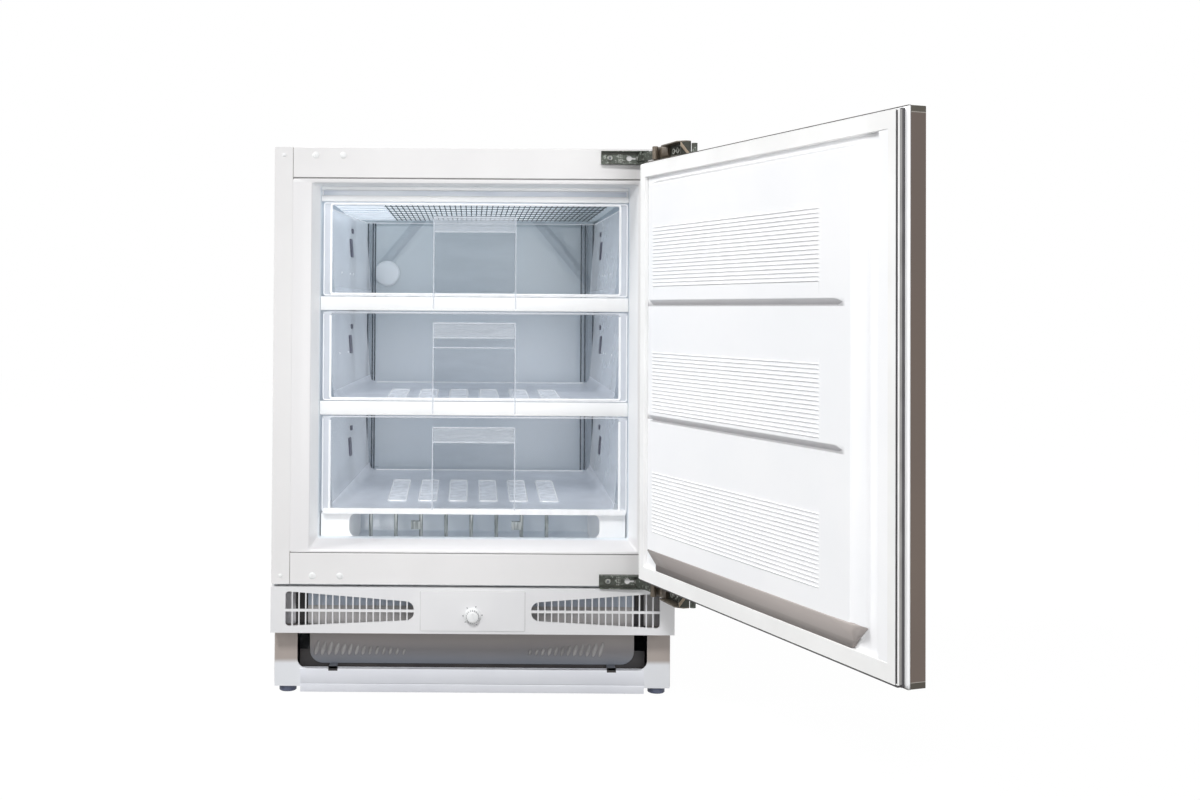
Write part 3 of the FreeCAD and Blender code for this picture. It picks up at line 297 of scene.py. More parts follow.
def liner_finish():
    """White on the flange, with painted light on the bevel, cool inside, with painted shade high on the back
    wall, and two darker bands of painted shade where |x - centre| * across + z * up is near their reach."""
    finish = Finish("vacuum drawn liner plastic", (239, 238, 238), 0.3, Coat_Weight=0.1)
    depth, height = finish.axis("Y"), finish.axis("Z")
    cloud = finish.between(finish.noise(4.0, 4.0), 0.3, 0.7)
    # Painted shade: the back wall is darker high up.
    high_back_shade = finish.between(depth, 0.40, 0.41) * finish.between(height, 0.48, 0.66)
    cool = finish.mix(high_back_shade, finish.mix(cloud, (244, 250, 255), (238, 246, 253)), (216, 224, 228))
    off_centre = finish.axis("X") - panel_centre[0] / 1000
    off_centre = finish.add("ShaderNodeMath", {"operation": "ABSOLUTE"}, {0: off_centre})
    slanting = off_centre * band_across + height * band_up - band_reach / 1000
    # Painted shade: two darker slanting bands on the back wall.
    band_shade = finish.band(slanting, (-0.010, -0.008), (0.006, 0.011)) * high_back_shade
    cool = finish.mix(band_shade, cool, (190, 199, 205))
    # Painted light: the bevel round the mouth is lighter, above the sill.
    bevel_light = finish.between(depth, 0.0006, 0.003) * finish.between(height, 0.236, 0.246)
    rim_and_bevel_light = finish.mix(bevel_light, (238, 237, 238), (250, 251, 252))
    finish.feed("Base Color", finish.mix(finish.between(depth, 0.024, 0.032), rim_and_bevel_light, cool))
    return finish.grain(35.0, 0.06, 2.0, 3.0)


# Each step of the liner: depth y, half width, lowest z, highest z and corner radius.
liner_steps = [
    (2.0, 272.0, 218.0, 773.0, 3), (0.5, 272.0, 218.0, 773.0, 3), (0.0, 271.4, 218.6, 772.4, 3),
    (0.0, 244.6, 220.8, 768.0, 3), (0.4, 243.9, 221.5, 767.3, 3), (1.4, 243.1, 222.5, 766.8, 3),
    (15.0, 238.2, 228.8, 765.9, 3), (28.8, 233.3, 234.6, 765.1, 3), (30.0, 233.0, 235.0, 765.0, 3),
    (44.0, 233.0, 235.0, 765.0, 3), (45.5, 233.0, 233.5, 765.6, 4), (47.0, 232.9, 222.0, 766.0, 9),
    (50.0, 232.8, 208.0, 766.0, 14), (56.0, 232.6, 206.0, 766.0, 14), (160.0, 229.9, 206.0, 766.0, 14),
    (260.0, 227.2, 206.0, 766.0, 14), (264.0, 227.1, 208.0, 766.0, 14), (283.0, 226.6, 262.0, 766.0, 14),
    (287.0, 226.4, 265.5, 766.0, 14), (360.0, 224.2, 265.5, 766.0, 16), (425.0, 222.4, 265.5, 766.0, 18),
    (434.0, 221.6, 266.5, 765.0, 18), (438.5, 219.0, 269.0, 762.6, 16), (440.0, 215.0, 273.0, 758.6, 14),
]
liner_back = 440.0
liner_loops = [rounded(-half, half, low, high, radius, 8, 30) for _, half, low, high, radius in liner_steps]
liner_rows = np.array([upright(loop, step[0]) for loop, step in zip(liner_loops, liner_steps)])
rim = liner_loops[-1]
wall_middle = (rim.min(0) + rim.max(0)) / 2
shares = [np.linspace(0.997, 0.85, 40), np.linspace(0.845, 0.35, 60), np.linspace(0.3, 0.01, 6)]
wall = wall_middle + (rim - wall_middle) * np.concatenate(shares)[:, None, None]
off_panel = np.abs(wall - panel_centre) - panel_half
edge_gap = np.linalg.norm(np.maximum(off_panel, 0), axis=-1) + np.minimum(off_panel.max(-1), 0) - panel_corner
within = 1 / (1 + np.exp(np.clip(edge_gap / 1.2, -40, 40)))
slant = np.abs(wall[..., 0] - panel_centre[0]) * band_across + wall[..., 1] * band_up - band_reach
panel_proud, frame_proud, groove_deep, band_proud = 5.0, 6.0, 5.0, 6.0
proud = panel_proud + frame_proud * (1 - within) - groove_deep * np.exp(-((edge_gap + 5.0) / 2.4) ** 2)
proud += band_proud * np.exp(-(slant / 10.0) ** 4) * within
wall_rows = np.stack([wall[..., 0], liner_back - proud, wall[..., 1]], axis=-1)
liner_points, liner_faces = loft(np.concatenate([liner_rows, wall_rows]), ends=False)
liner_faces.append(np.arange(len(liner_points) - len(rim), len(liner_points)).tolist())
build("liner_shell", "cabinet", liner_finish(), [(liner_points, liner_faces)], ["inner_liner"],
      closed=False, wall=1.6)


# Back wall cap: a round lid of white plastic over the temperature sensor.
# It has a rolled edge and a slightly domed face, and clips into the liner.
# It sits left of the middle, behind the top drawer.
lid_centre = (-158.0, 432.0, 644.0)
lid_curve = [
    (0.1, 9.0), (12.0, 8.8), (18.0, 8.2), (20.6, 7.2), (21.6, 5.4), (22.4, 4.6), (23.0, 3.4), (23.0, 0.0),
]
# Painted light: the lid has a faint glow, so it stands out against the wall.
cool_white_glow = Finish("cool white plastic", (246, 249, 251), 0.36,
                    Emission_Color=(0.9, 0.95, 1.0, 1.0), Emission_Strength=0.05)
cool_white_glow.mottle((238, 243, 246), 14.0, 0.3, 0.7, 0.06).grain(900.0, 0.05, 0.3)
build("sensor_lid", "cabinet", cool_white_glow,
      [turned(lid_centre, to_front, lid_curve, 40)], ["sensor_cap"])


# Cooling shelves: steel tube bent to and fro, with wires welded across it.
# Both are dipped in white enamel; the uppermost wires are painted dark grey as shade, under a sheet that
# glows as painted light.
# The bent rods below the bottom drawer are bare drawn steel, held by two clips.
def bead(path, radius, closed=False, normal=(0.0, 1.0, 0.0), sides=8):
    """A round section carried along a flat path: at each point a ring stands across the mean
    direction of the two runs that meet there, widened to keep its thickness in the corner."""
    path = np.asarray(path, float)
    runs = np.roll(path, -1, 0) - path if closed else np.diff(path, axis=0)
    runs = runs / np.linalg.norm(runs, axis=1)[:, None]
    before = np.roll(runs, 1, 0) if closed else np.vstack([runs[:1], runs])
    after = runs if closed else np.vstack([runs, runs[-1:]])
    along = before + after
    along /= np.linalg.norm(along, axis=1)[:, None]
    widen = 1 / np.maximum((along * after).sum(1), 0.4)
    sideways = np.cross(along, normal) * widen[:, None]
    a = np.linspace(0, 2 * np.pi, sides, endpoint=False)
    rings = np.cos(a)[None, :, None] * sideways[:, None] + np.sin(a)[None, :, None] * np.asarray(normal)
    return loft(path[:, None] + radius * rings, ring=closed)


up = (0.0, 0.0, 1.0)
tube_runs, tube_pitch, first_run, run_half, tube_radius = 9, 40.0, 65.0, 180.0, 4.0
tail_left, tail_right, tail_bend, tail_end = -194.0, 82.0, 18.0, 434.0
tube_heights, wire_lift, ceiling_wire_z = (747.5, 591.5, 433.5), 5.25, 738.5
last_run = first_run + tube_pitch * (tube_runs - 1)
wire_front, wire_back, wire_right = 43.0, 398.0, 201.0


def serpentine(z):
    """Tube runs across, joined by half circles, both tails led to the back wall by quarter circles."""
    quarter, half_turn = np.linspace(0, np.pi / 2, 5), np.linspace(-np.pi / 2, np.pi / 2, 9)
    bend = tube_pitch / 2
    path = [(tail_left - tail_bend, tail_end)]
    path += [(tail_left - tail_bend * math.cos(a), first_run + tail_bend * (1 - math.sin(a)))
             for a in quarter]
    for run in range(tube_runs - 1):
        side, middle = 1 - 2 * (run % 2), first_run + tube_pitch * run + bend
        path += [(side * (run_half + bend * math.cos(a)), middle + bend * math.sin(a)) for a in half_turn]
    path += [(tail_right + tail_bend * math.sin(a), last_run + tail_bend * (1 - math.cos(a)))
             for a in quarter]
    path.append((tail_right + tail_bend, tail_end))
    return bead([(x, y, z) for x, y in path], tube_radius, normal=up, sides=10)


def wire(start, end, radius):
    """A straight wire with six sides."""
    return bead([start, end], radius, normal=up, sides=6)


def wire_grid(z, thick, thin, gap, left=-wire_right, count=40):
    """Wires along the depth, and others across below them."""
    columns = np.linspace(left, wire_right, count)
    grid = [wire((x, wire_front, z), (x, wire_back, z), thick) for x in columns]
    return grid + [wire((left - 2.0, y, z - thick), (wire_right + 2.0, y, z - thick), thin)
                   for y in np.arange(70.0, wire_back, gap)]


enamel = Finish("white dipped enamel", (232, 236, 240), 0.3)
enamel.mottle((216, 222, 230), 60.0, 0.45, 0.7, 0.1).grain(240.0, 0.1, 0.5)
build("shelf_tubes", "cabinet", enamel, [serpentine(z) for z in tube_heights],
      ["evaporator_tubes"])
wires = []
for tube_z in tube_heights[1:]:
    wires += wire_grid(tube_z + wire_lift, 1.1, 1.4, 46.0)
wires += [wire((-214.0, y, 738.6), (-141.0, y, 738.6), 0.7) for y in np.arange(70.0, wire_back, 50.0)]
build("shelf_wires", "cabinet", enamel, wires, ["evaporator_wires"])
# Painted shade: the uppermost wires are dark grey against the sheet above them.
wire_shade_grey = Finish("dipped wire in painted shade", (54, 70, 72), 0.4)
wire_shade_grey.mottle((80, 96, 98), 60.0, 0.45, 0.7, 0.1).grain(240.0, 0.1, 0.5)
build("ceiling_wires", "cabinet", wire_shade_grey,
      wire_grid(ceiling_wire_z, 0.9, 0.6, 50.0, -138.0, 42))
# Painted light: the ceiling sheet glows, for the light thrown up from below; its right side is darker,
# painted shade.
ceiling_painted_light = Finish("ceiling sheet", (236, 243, 248), 0.4, Emission_Strength=0.5)
right_side_shade = ceiling_painted_light.between(ceiling_painted_light.axis("X") + ceiling_painted_light.noise(20.0) * 0.04, 0.06, 0.22)
ceiling_painted_light.feed("Base Color", ceiling_painted_light.mix(right_side_shade, (236, 243, 248), (150, 162, 168)))
ceiling_painted_glow = ceiling_painted_light.mix(right_side_shade, (0.9, 0.95, 1.0, 1.0), (0.3, 0.34, 0.37, 1.0))
ceiling_painted_light.feed("Emission Color", ceiling_painted_glow)
ceiling_painted_light.grain(300.0, 0.05, 0.4)
build("ceiling_sheet", "cabinet", ceiling_painted_light,
      [block(-218.0, 218.0, 46.0, 424.0, 740.0, 740.8)], bevel=0.2)

drawn_steel = Finish("drawn steel rod", (196, 201, 200), 0.32, Metallic=0.35)
drawn_steel.mottle((140, 147, 147), 30.0, 0.42, 0.66, 0.14, (9.0, 9.0, 1.0))
drawn_steel.grain(900.0, 0.08, 0.3, 2.0, (1.0, 1.0, 0.1))
dress(drawn_steel, "bottom_shelf")


# Shelf trims: three white moulded strips across the front ends of the cooling shelves.
# Each has a rounded face and clips onto the tube ends; the top one has an insert in its recess, blue-grey as
# painted shade.
# The drawers' fronts stop just in front of them.
def strip(profile, x0, x1):
    """A (y, z) profile carried straight along x."""
    profile = np.asarray(profile, float)
    return loft([np.column_stack([np.full(len(profile), x), profile]) for x in (x0, x1)])


# Painted light: the trims and runners have a faint glow.
glowing_white = Finish("white moulding with painted glow", (247, 248, 249), 0.35,
                      Emission_Color=(1.0, 1.0, 1.0, 1.0), Emission_Strength=0.05)
glowing_white.mottle((240, 242, 244), 12.0, 0.3, 0.7, 0.05).grain(1400.0, 0.04, 0.3)
trim_half, trim_back, trim_face = 232.4, 43.0, 33.0
trims = [strip([
    (trim_back, 765.0), (34.0, 765.0), (33.2, 764.4), (trim_face, 763.6), (33.2, 760.4), (34.0, 759.8),
    (40.6, 759.4), (40.6, 751.6), (34.6, 751.2), (33.4, 750.4), (trim_face, 749.0), (trim_face, 744.5),
    (33.3, 743.0), (34.4, 742.0), (trim_back, 742.0),
], -trim_half, trim_half)]
for top in (598.0, 440.0):
    trims.append(strip([
        (trim_back, top), (34.6, top), (33.5, top - 0.8), (trim_face, top - 2.2), (trim_face, top - 18.6),
        (33.5, top - 20.2), (34.6, top - 21.0), (trim_back, top - 21.0),
    ], -trim_half, trim_half))
build("shelf_strips", "cabinet", glowing_white, trims, ["shelf_trims"])
# Painted shade: the insert is blue-grey where the mouth's top edge shades the strip.
insert_shade_grey = Finish("insert in painted shade", (204, 211, 222), 0.3)
insert_shade_grey.mottle((226, 230, 236), 7.0, 0.35, 0.65, 0.08, (1.0, 1.0, 6.0)).grain(700.0, 0.05, 0.3)
build("top_strip_insert", "cabinet", insert_shade_grey,
      [block(-230.0, 230.0, 39.4, 40.8, 751.8, 759.2)])


# Drawer runners: two white blocks beside the bent rods, under the bottom drawer.
# They are foamed plastic, and a thin white plate with a wide window closes their front.
# Both stand on the liner's floor; the bottom drawer slides above them.
def plate(outer, hole, y0, y1):
    """A flat plate with one hole: two loops of (x, z) points at two depths, joined as a ring."""
    return loft([upright(outer, y0), upright(hole, y0), upright(hole, y1), upright(outer, y1)], ring=True)


runner_half, window_left, window_right = 231.0, -188.0, 192.0
window = rounded(window_left, window_right, 233.0, 269.6, 12.0)
runners = [plate(rounded(-runner_half, runner_half, 207.0, 270.0, 2.0), window, 46.5, 49.5)]
for x0, x1 in ((-runner_half, window_left), (window_right, runner_half)):
    runners.append(block(x0, x1, 49.0, 258.0, 206.6, 269.0))
build("drawer_runners", "cabinet", glowing_white, runners, bevel=0.4)


# Drawers: three clear tubs, each with a front that has a finger pocket and a grip bar.
# Clear polystyrene from an injection mould; its ribs catch the light, and its edges,
# sides, floors and pads get a faint glow of painted light.
# The front is snapped and welded onto the tub, which slides on the shelf below.
def clear(name, colour, roughness, scale, spread, least, grain, detail=2.0, stretch=(1.0, 1.0, 1.0),
          glow=None):
    """See-through plastic: its cover drifts in clouds from least to least + spread, and a sheet may
    have a glow of painted light, given as a colour and a strength."""
    finish = Finish(name, colour, roughness)
    finish.feed("Alpha", finish.noise(scale, detail, stretch) * spread + least)
    if glow:
        finish.feed("Emission Color", glow[0])
        finish.feed("Emission Strength", glow[1])
    return finish.grain(*grain)


clear_plastic = Finish("clear drawer plastic", (206, 218, 232), 0.1)
edge_on = clear_plastic.add("ShaderNodeLayerWeight", {}, {"Blend": 0.35}, "Facing")
clear_plastic.feed("Alpha", edge_on * 0.3 + clear_plastic.noise(14.0) * 0.03 + 0.02)
clear_plastic.feed("Roughness", clear_plastic.noise(30.0, 3.0) * 0.12 + 0.06)
clear_plastic.grain(22.0, 0.05, 2.0)
fine, wavy, rough = (120.0, 0.05, 0.6), (60.0, 0.05, 1.0), (60.0, 0.08, 1.0)
# Painted light: the glows of the edge, side, floor and pad plastics.
edge_plastic = clear("drawer edge plastic", (246, 248, 251), 0.2, 70.0, 0.3, 0.72, fine,
                     stretch=(1.0, 1.0, 0.3), glow=((1.0, 1.0, 1.0, 1.0), 0.12))
pocket_plastic = clear("drawer rib plastic", (236, 242, 250), 0.15, 60.0, 0.25, 0.3, fine)
grip_plastic = clear("drawer grip plastic", (228, 234, 242), 0.2, 24.0, 0.4, 0.02, (60.0, 0.05, 0.6), 3.0,
                     (1.0, 1.0, 14.0))
slot_plastic = clear("shaded slot plastic", (70, 62, 92), 0.3, 50.0, 0.3, 0.6, fine)
shaded_plastic = clear("shaded drawer plastic", (66, 76, 88), 0.25, 50.0, 0.3, 0.6, fine)
post_plastic = clear("drawer post plastic", (106, 114, 128), 0.25, 60.0, 0.4, 0.06, fine,
                     stretch=(1.0, 1.0, 0.2))
border_plastic = clear("drawer border plastic", (238, 241, 248), 0.25, 9.0, 0.2, 0.52, (90.0, 0.05, 0.6))
side_plastic = clear("drawer side plastic", (220, 225, 233), 0.2, 7.0, 0.3, 0.4, wavy, 3.0,
                     glow=((0.87, 0.91, 0.97, 1.0), 0.22))
frosted_plastic = clear("frosted drawer floor", (224, 229, 238), 0.3, 16.0, 0.3, 0.6, rough, 3.0,
                        glow=((0.9, 0.94, 1.0, 1.0), 0.12))
pad_plastic = clear("drawer pad plastic", (244, 247, 251), 0.25, 60.0, 0.8, 0.14, rough, 3.0,
                    glow=((0.95, 0.97, 1.0, 1.0), 0.22))
cup_plastic = clear("finger pocket plastic", (112, 124, 138), 0.15, 12.0, 0.2, 0.12, (40.0, 0.05, 1.0), 3.0,
                    (1.0, 1.0, 4.0))

front_left, front_right, border_wide, front_y = -229.0, 231.6, 11.5, 36.0
pocket_half, edge_y, rib_y = 62.0, 34.2, 35.0
pad_half, pad_long, pad_pitch, pad_lift = 14.0, 170.0, 48.0, 1.2
foot_seam_y, post_y, post_line_y = 387.0, 386.6, 385.4
tub_front, tub_deep, tub_taper, tub_shift = 38.0, 350.0, 0.088, 11.0
tub_back = tub_front + tub_deep
base_half, brim_half, line_half, base_bend = 213.5, 222.5, 222.0, 14.0
depths = np.array([tub_front, 120.0, 210.0, 300.0, tub_back])
inward = (depths - tub_front) / tub_deep


def slab(loop, y0, y1):
    """A loop of (x, z) points carried straight from one depth to another."""
    return loft([upright(loop, y0), upright(loop, y1)])


def tapered(section, share):
    """A tub's (x, z) section at a share of its depth: narrower and further right to the back."""
    return section * (1 - tub_taper * share, 1.0) + (tub_shift * share, 0.0)


def wall_x(side, y, height, wall_tall):
    """Where a tub's side wall is at a depth and a height: it leans out from base to brim, and tapers."""
    share = (y - tub_front) / tub_deep
    out = base_half + (brim_half - base_half) * (height - base_bend) / (wall_tall - base_bend)
    return side * out * (1 - tub_taper * share) + tub_shift * share


# Each light edge of a front: its inset at the sides, below and above, corner radius and thickness.
light_edges = ((border_wide, 3.0, 2.0, 4.0, 1.9), (1.0, 1.0, 1.0, 3.0, 0.9))
# Each drawer: its floor, height, lower end of the ribs, rise of the floor to the back, start of the
# pads, how much taller the front is made, and the height of the pips on its sides.
drawers = [
    ("top_drawer", 598.5, 137.0, 577.0, 0.0, 60.0, 4.5, 38.0),
    ("middle_drawer", 440.5, 134.5, 419.0, 9.0, 60.0, 0.0, 69.0),
    ("bottom_drawer", 272.0, 145.0, 272.0, 22.0, 120.0, 0.0, None),
]
for drawer, floor, tall, skirt, rise, pad_start, lift, pip_height in drawers:
    def part(name, finish, patches, replaces=(), closed=True):
        build(drawer + name, drawer, finish, patches, replaces, closed)

    low, high = floor + 0.5, floor + 0.5 + tall + lift
    pocket_low, pocket_high = low + 6.0, high - lift - 17.0
    grip = pocket_high - 22.0
    outer = rounded(front_left, front_right, low, high, 3.0)
    inner = rounded(front_left + border_wide, front_right - border_wide, low + 3.0, high - 2.0, 4.0)
    mouth = rounded(-60.0, 60.0, pocket_low + 2.5, grip, 4.0)
    cup_edge = rounded(-pocket_half, pocket_half, pocket_low, pocket_high, 6.0)
    heart = np.array([0.0, (pocket_low + pocket_high) / 2])
    cup_loops = [(cup_edge, 37.0), (cup_edge, 51.0), (heart + (cup_edge - heart) * 0.96, 54.0)]
    cup_points, cup_faces = loft([upright(loop, y) for loop, y in cup_loops], ends=False)
    cup_faces.append(np.arange(2 * len(cup_edge), 3 * len(cup_edge)).tolist())
    front_sheet = loft([upright(inner, front_y), upright(mouth, front_y)], ends=False)
    part("_clear_front", clear_plastic, [front_sheet], [drawer + "_front"], closed=False)
    part("_cup", cup_plastic, [(cup_points, cup_faces)], closed=False)
    border = loft([upright(outer, front_y), upright(inner, front_y)], ends=False)
    part("_border", border_plastic, [border], closed=False)

    closed_top = drawer == "top_drawer"
    edges = []
    for side_in, low_in, top_in, radius, thick in light_edges:
        line = rounded(front_left + side_in, front_right - side_in, low + low_in, high - top_in, radius, 5)
        line = upright(line, edge_y)
        edges.append(bead(line if closed_top else np.vstack([line[9:], line[:1]]), thick, closed_top))
    if drawer == "bottom_drawer":
        edges.append(slab(rounded(-227.0, 230.0, 270.6, 279.0, 3.0), 31.6, 37.0))
    part("_edges", edge_plastic, edges)

    ribs = []
    for x in (-pocket_half, pocket_half):
        rib = [(x, 34.6, skirt + 1.5), (x, 32.0, skirt + 6.0), (x, 32.0, pocket_high)]
        ribs.append(bead(rib, 1.0, normal=(1.0, 0.0, 0.0)))
    rib_lines = [(pocket_high, 1.4), (grip, 1.3)]
    if drawer == "middle_drawer":
        rib_lines.append((grip - 15.0, 0.9))
    ribs += [bead([(-pocket_half, rib_y, z), (pocket_half, rib_y, z)], thick) for z, thick in rib_lines]
    part("_ribs", pocket_plastic, ribs)
    part("_grip", grip_plastic, [slab(rounded(-61.0, 61.0, grip, pocket_high, 2.0), rib_y, rib_y + 0.6)])

    wall_tall = tall - 3.0
    tub_top = floor + wall_tall
    corner = np.linspace(0, np.pi / 2, 7)
    bend_x = base_half - base_bend * (1 - np.sin(corner))
    bend = np.stack([bend_x, floor + base_bend * (1 - np.cos(corner))], axis=1)
    trough = np.vstack([(bend * (-1.0, 1.0))[::-1], bend])
    back = np.vstack([[(-brim_half, tub_top)], trough, [(brim_half, tub_top)]])
    back_sheet = (upright(tapered(back, 1.0), tub_back), [list(range(len(back)))])
    part("_clear_tub", clear_plastic, [back_sheet], [drawer + "_tub"], closed=False)
    base_rows = [upright(tapered(trough, share) + (0.0, rise * share), y) for y, share in zip(depths, inward)]
    part("_frosted_base", frosted_plastic, [loft(base_rows, around=False, ends=False)], closed=False)
    walls = []
    for side in (-1, 1):
        side_wall = np.array([(side * base_half, floor + base_bend), (side * brim_half, tub_top)])
        side_rows = [upright(tapered(side_wall, share), y) for y, share in zip(depths, inward)]
        walls.append(loft(side_rows, around=False, ends=False))
    part("_side_walls", side_plastic, walls, closed=False)

    brim_left, brim_right = tapered(np.array([(-line_half, tub_top), (line_half, tub_top)]), 1.0)[:, 0]
    foot_left, foot_right = tapered(np.array([(-214.0, floor), (214.0, floor)]), 1.0)[:, 0] + (12.0, -12.0)
    foot_z = floor + rise + pad_lift
    brim = [(-line_half, 38.5, tub_top), (brim_left, tub_back, tub_top), (brim_right, tub_back, tub_top),
            (line_half, 38.5, tub_top)]
    foot_seam = [(foot_left, foot_seam_y, foot_z), (foot_right, foot_seam_y, foot_z)]
    seams = [bead(brim, 0.7, normal=up), bead(foot_seam, 1.0)]
    pads = []
    for x in np.arange(-120.0, 141.0, pad_pitch):
        pad = rounded(x - pad_half, x + pad_half, pad_start, pad_start + pad_long, 4.0, 5)
        pad = np.column_stack([pad, floor + pad_lift + rise * (pad[:, 1] - tub_front) / tub_deep])
        seams.append(bead(pad, 1.2, True, up))
        pads.append((pad + (0.0, 0.0, 0.4), [list(range(len(pad)))]))
    for side in (-1, 1) if pip_height else ():
        for y in (112.0, 185.0, 216.0):
            pip = (wall_x(side, y, pip_height, wall_tall), y, floor + pip_height)
            seams.append(turned(pip, (-side, 0, 0), [(1.7, 0.1), (1.4, 0.9), (0.1, 1.3)], 10))
    part("_seams", edge_plastic, seams)
    part("_pads", pad_plastic, pads, closed=False)

    post_lines, posts, slots = [], [], []
    post_low = floor + rise + 2.0
    for outside, inside in ((brim_left + 2.5, -176.0), (brim_right - 2.5, 190.0)):
        for x in (outside, (outside + 2 * inside) / 3, inside):
            post_lines.append(bead([(x, post_line_y, post_low + 1.0), (x, post_line_y, tub_top - 1.0)], 1.2))
        x0, x1 = sorted((outside, inside))
        post = np.array([(x0, post_low), (x1, post_low), (x1, tub_top), (x0, tub_top)])
        posts.append((upright(post, post_y), [[0, 1, 2, 3]]))
    part("_posts", post_plastic, posts, closed=False)
    for side in (-1, 1):
        for y, z, half, half_tall in ((237.0, 81.0, 11.0, 15.0), (258.0, 110.0, 8.0, 4.0)):
            middle = y + side * 25.0
            hollow = rounded(middle - half, middle + half, floor + z - half_tall, floor + z + half_tall, 3.6)
            out = wall_x(side, hollow[:, 0], hollow[:, 1] - floor, wall_tall)
            slots.append(loft([np.column_stack([out - side * deep, hollow]) for deep in (0.3, 1.5)]))
    part("_shaded_lines", shaded_plastic, post_lines)
    part("_slots", slot_plastic, slots)


# Vent grille, control plate and knob: the front below the door.
# Moulded white plastic, with grey printed ticks round the knob.
# The grille is clipped on, the knob pushed onto the thermostat's shaft.
grille_white = Finish("grille plastic", (237, 237, 238), 0.4)
grille_white.mottle((231, 231, 233), 8.0, 0.3, 0.7, 0.08).grain(1500.0, 0.06, 0.3)
dress(grille_white, "vent_grille", "control_plate")
dress(moulded_white, "thermostat_shaft", "thermostat_body")
knob_z, knob_seat, knurl_circle, knurl_count = 126.5, -4.8, 8.9, 18
knob_curve = [
    (0.1, 10.6), (6.6, 10.5), (7.9, 10.0), (8.5, 9.0), (8.8, 3.4), (9.3, 2.8), (11.2, 2.6), (11.8, 2.2),
    (12.0, 1.4), (12.0, 0.0),
]
knob = turned((0.0, knob_seat, knob_z), to_front, knob_curve, 40)
grip_bar = slab(rounded(-1.9, 1.9, 119.4, 133.8, 1.7), -15.0, -16.6)
build("dial_knob", "thermostat_dial", moulded_white, [knob, grip_bar], ["thermostat_knob"],
      bevel=0.4)
knurl_grey = Finish("shaded knurl plastic", (168, 169, 170), 0.5)
knurl_grey.mottle((200, 201, 202), 120.0, 0.4, 0.65, 0.1)
knurl_curve = [(0.7, 5.2), (0.9, 4.6), (0.9, -1.5)]
knurls = []
for angle in np.linspace(0, 2 * np.pi, knurl_count, endpoint=False):
    place = (knurl_circle * math.sin(angle), -9.0, knob_z + knurl_circle * math.cos(angle))
    knurls.append(turned(place, to_front, knurl_curve, 8))
build("knob_knurls", "thermostat_dial", knurl_grey, knurls)
# Grey ink for the ticks, used also as painted shade in the screw crosses.
ink_and_cross_shade = Finish("grey dial ink and painted cross shade", (96, 98, 104), 0.6).mottle((116, 118, 122), 200.0, 0.35, 0.7)
tick_start, tick_long, tick_half = 13.2, 1.8, 0.6
ticks = []
for angle in np.radians([-130.0, -90.0, -35.0, 20.0, 85.0, 155.0]):
    way = np.array([math.sin(angle), math.cos(angle)])
    aside = np.array([way[1], -way[0]]) * tick_half
    start = np.array([0.0, knob_z]) + way * tick_start
    end = start + way * tick_long
    ticks.append(slab(np.array([start - aside, start + aside, end + aside, end - aside]), -4.2, -4.35))
build("dial_ticks", "cabinet", ink_and_cross_shade, ticks)
seam_grey = Finish("seam grey", (206, 206, 206), 0.6).mottle((214, 214, 214), 40.0, 0.35, 0.7)
plate_seam = bead(upright(rounded(-77.4, 77.4, 103.9, 162.6, 1.5), -3.1), 0.5, True)
build("plate_seam", "cabinet", seam_grey, [plate_seam])


# Behind the vents: a blue-grey baffle over the kick frame, its lower strip in painted shade, the left
# bay wall in painted light, and a dark slot of painted shade at each end.
# Painted sheet steel, spot-welded to the bay ceiling.
baffle_low, baffle_seam, baffle_top = 104.6, 132.6, 166.5
baffle_left, baffle_right = -249.0, 247.0
# The lower baffles are painted shade, the left bay wall painted light.
baffles = [
    ("vent_baffle", "baffle paint", (188, 198, 212), (172, 181, 195), 0.4, 12.0,
     [block(baffle_left, baffle_right, 34.0, 35.5, baffle_seam, baffle_top)]),
    ("low_baffles", "shaded baffle paint", (186, 184, 184), (170, 167, 167), 0.45, 14.0,
     [block(baffle_left, baffle_right, 34.4, 35.9, baffle_low, baffle_seam),
      block(257.0, 286.0, 34.4, 35.9, baffle_low, baffle_top)]),
    ("bay_wall_left", "bay wall in painted light", (200, 199, 202), (182, 180, 184), 0.5, 14.0,
     [block(-286.0, -264.0, 34.4, 35.9, baffle_low, baffle_top)]),
]
for piece, paint, colour, other, roughness, cloud_scale, sheets in baffles:
    finish = Finish(paint, colour, roughness)
    finish.mottle(other, cloud_scale, 0.35, 0.7, 0.1).grain(600.0, 0.05, 0.4)
    build(piece, "cabinet", finish, sheets)
# Painted shade: the dark slots, and the sheet behind the tray; the hook caps are dark plastic.
slot_shade_and_cap_dark = Finish("painted slot shade and dark caps", (40, 38, 40), 0.7)
slot_shade_and_cap_dark.mottle((54, 51, 51), 30.0, 0.35, 0.7).grain(400.0, 0.05, 0.4)
build("vent_slots", "cabinet", slot_shade_and_cap_dark,
      [block(x0, x1, 33.2, 34.6, baffle_low, baffle_top) for x0, x1 in ((-266.0, -248.0), (243.5, 258.0))])


# Kick frame and plinth bar: the white surround of the opening at the bottom.
# Painted steel, with the grille's shadow painted in tan on its upper part, and a folded bar along its lower
# edge.
# Two dark caps cover the ends of the tray's hooks.
kick_paint = Finish("kick frame paint", (236, 236, 236), 0.32)
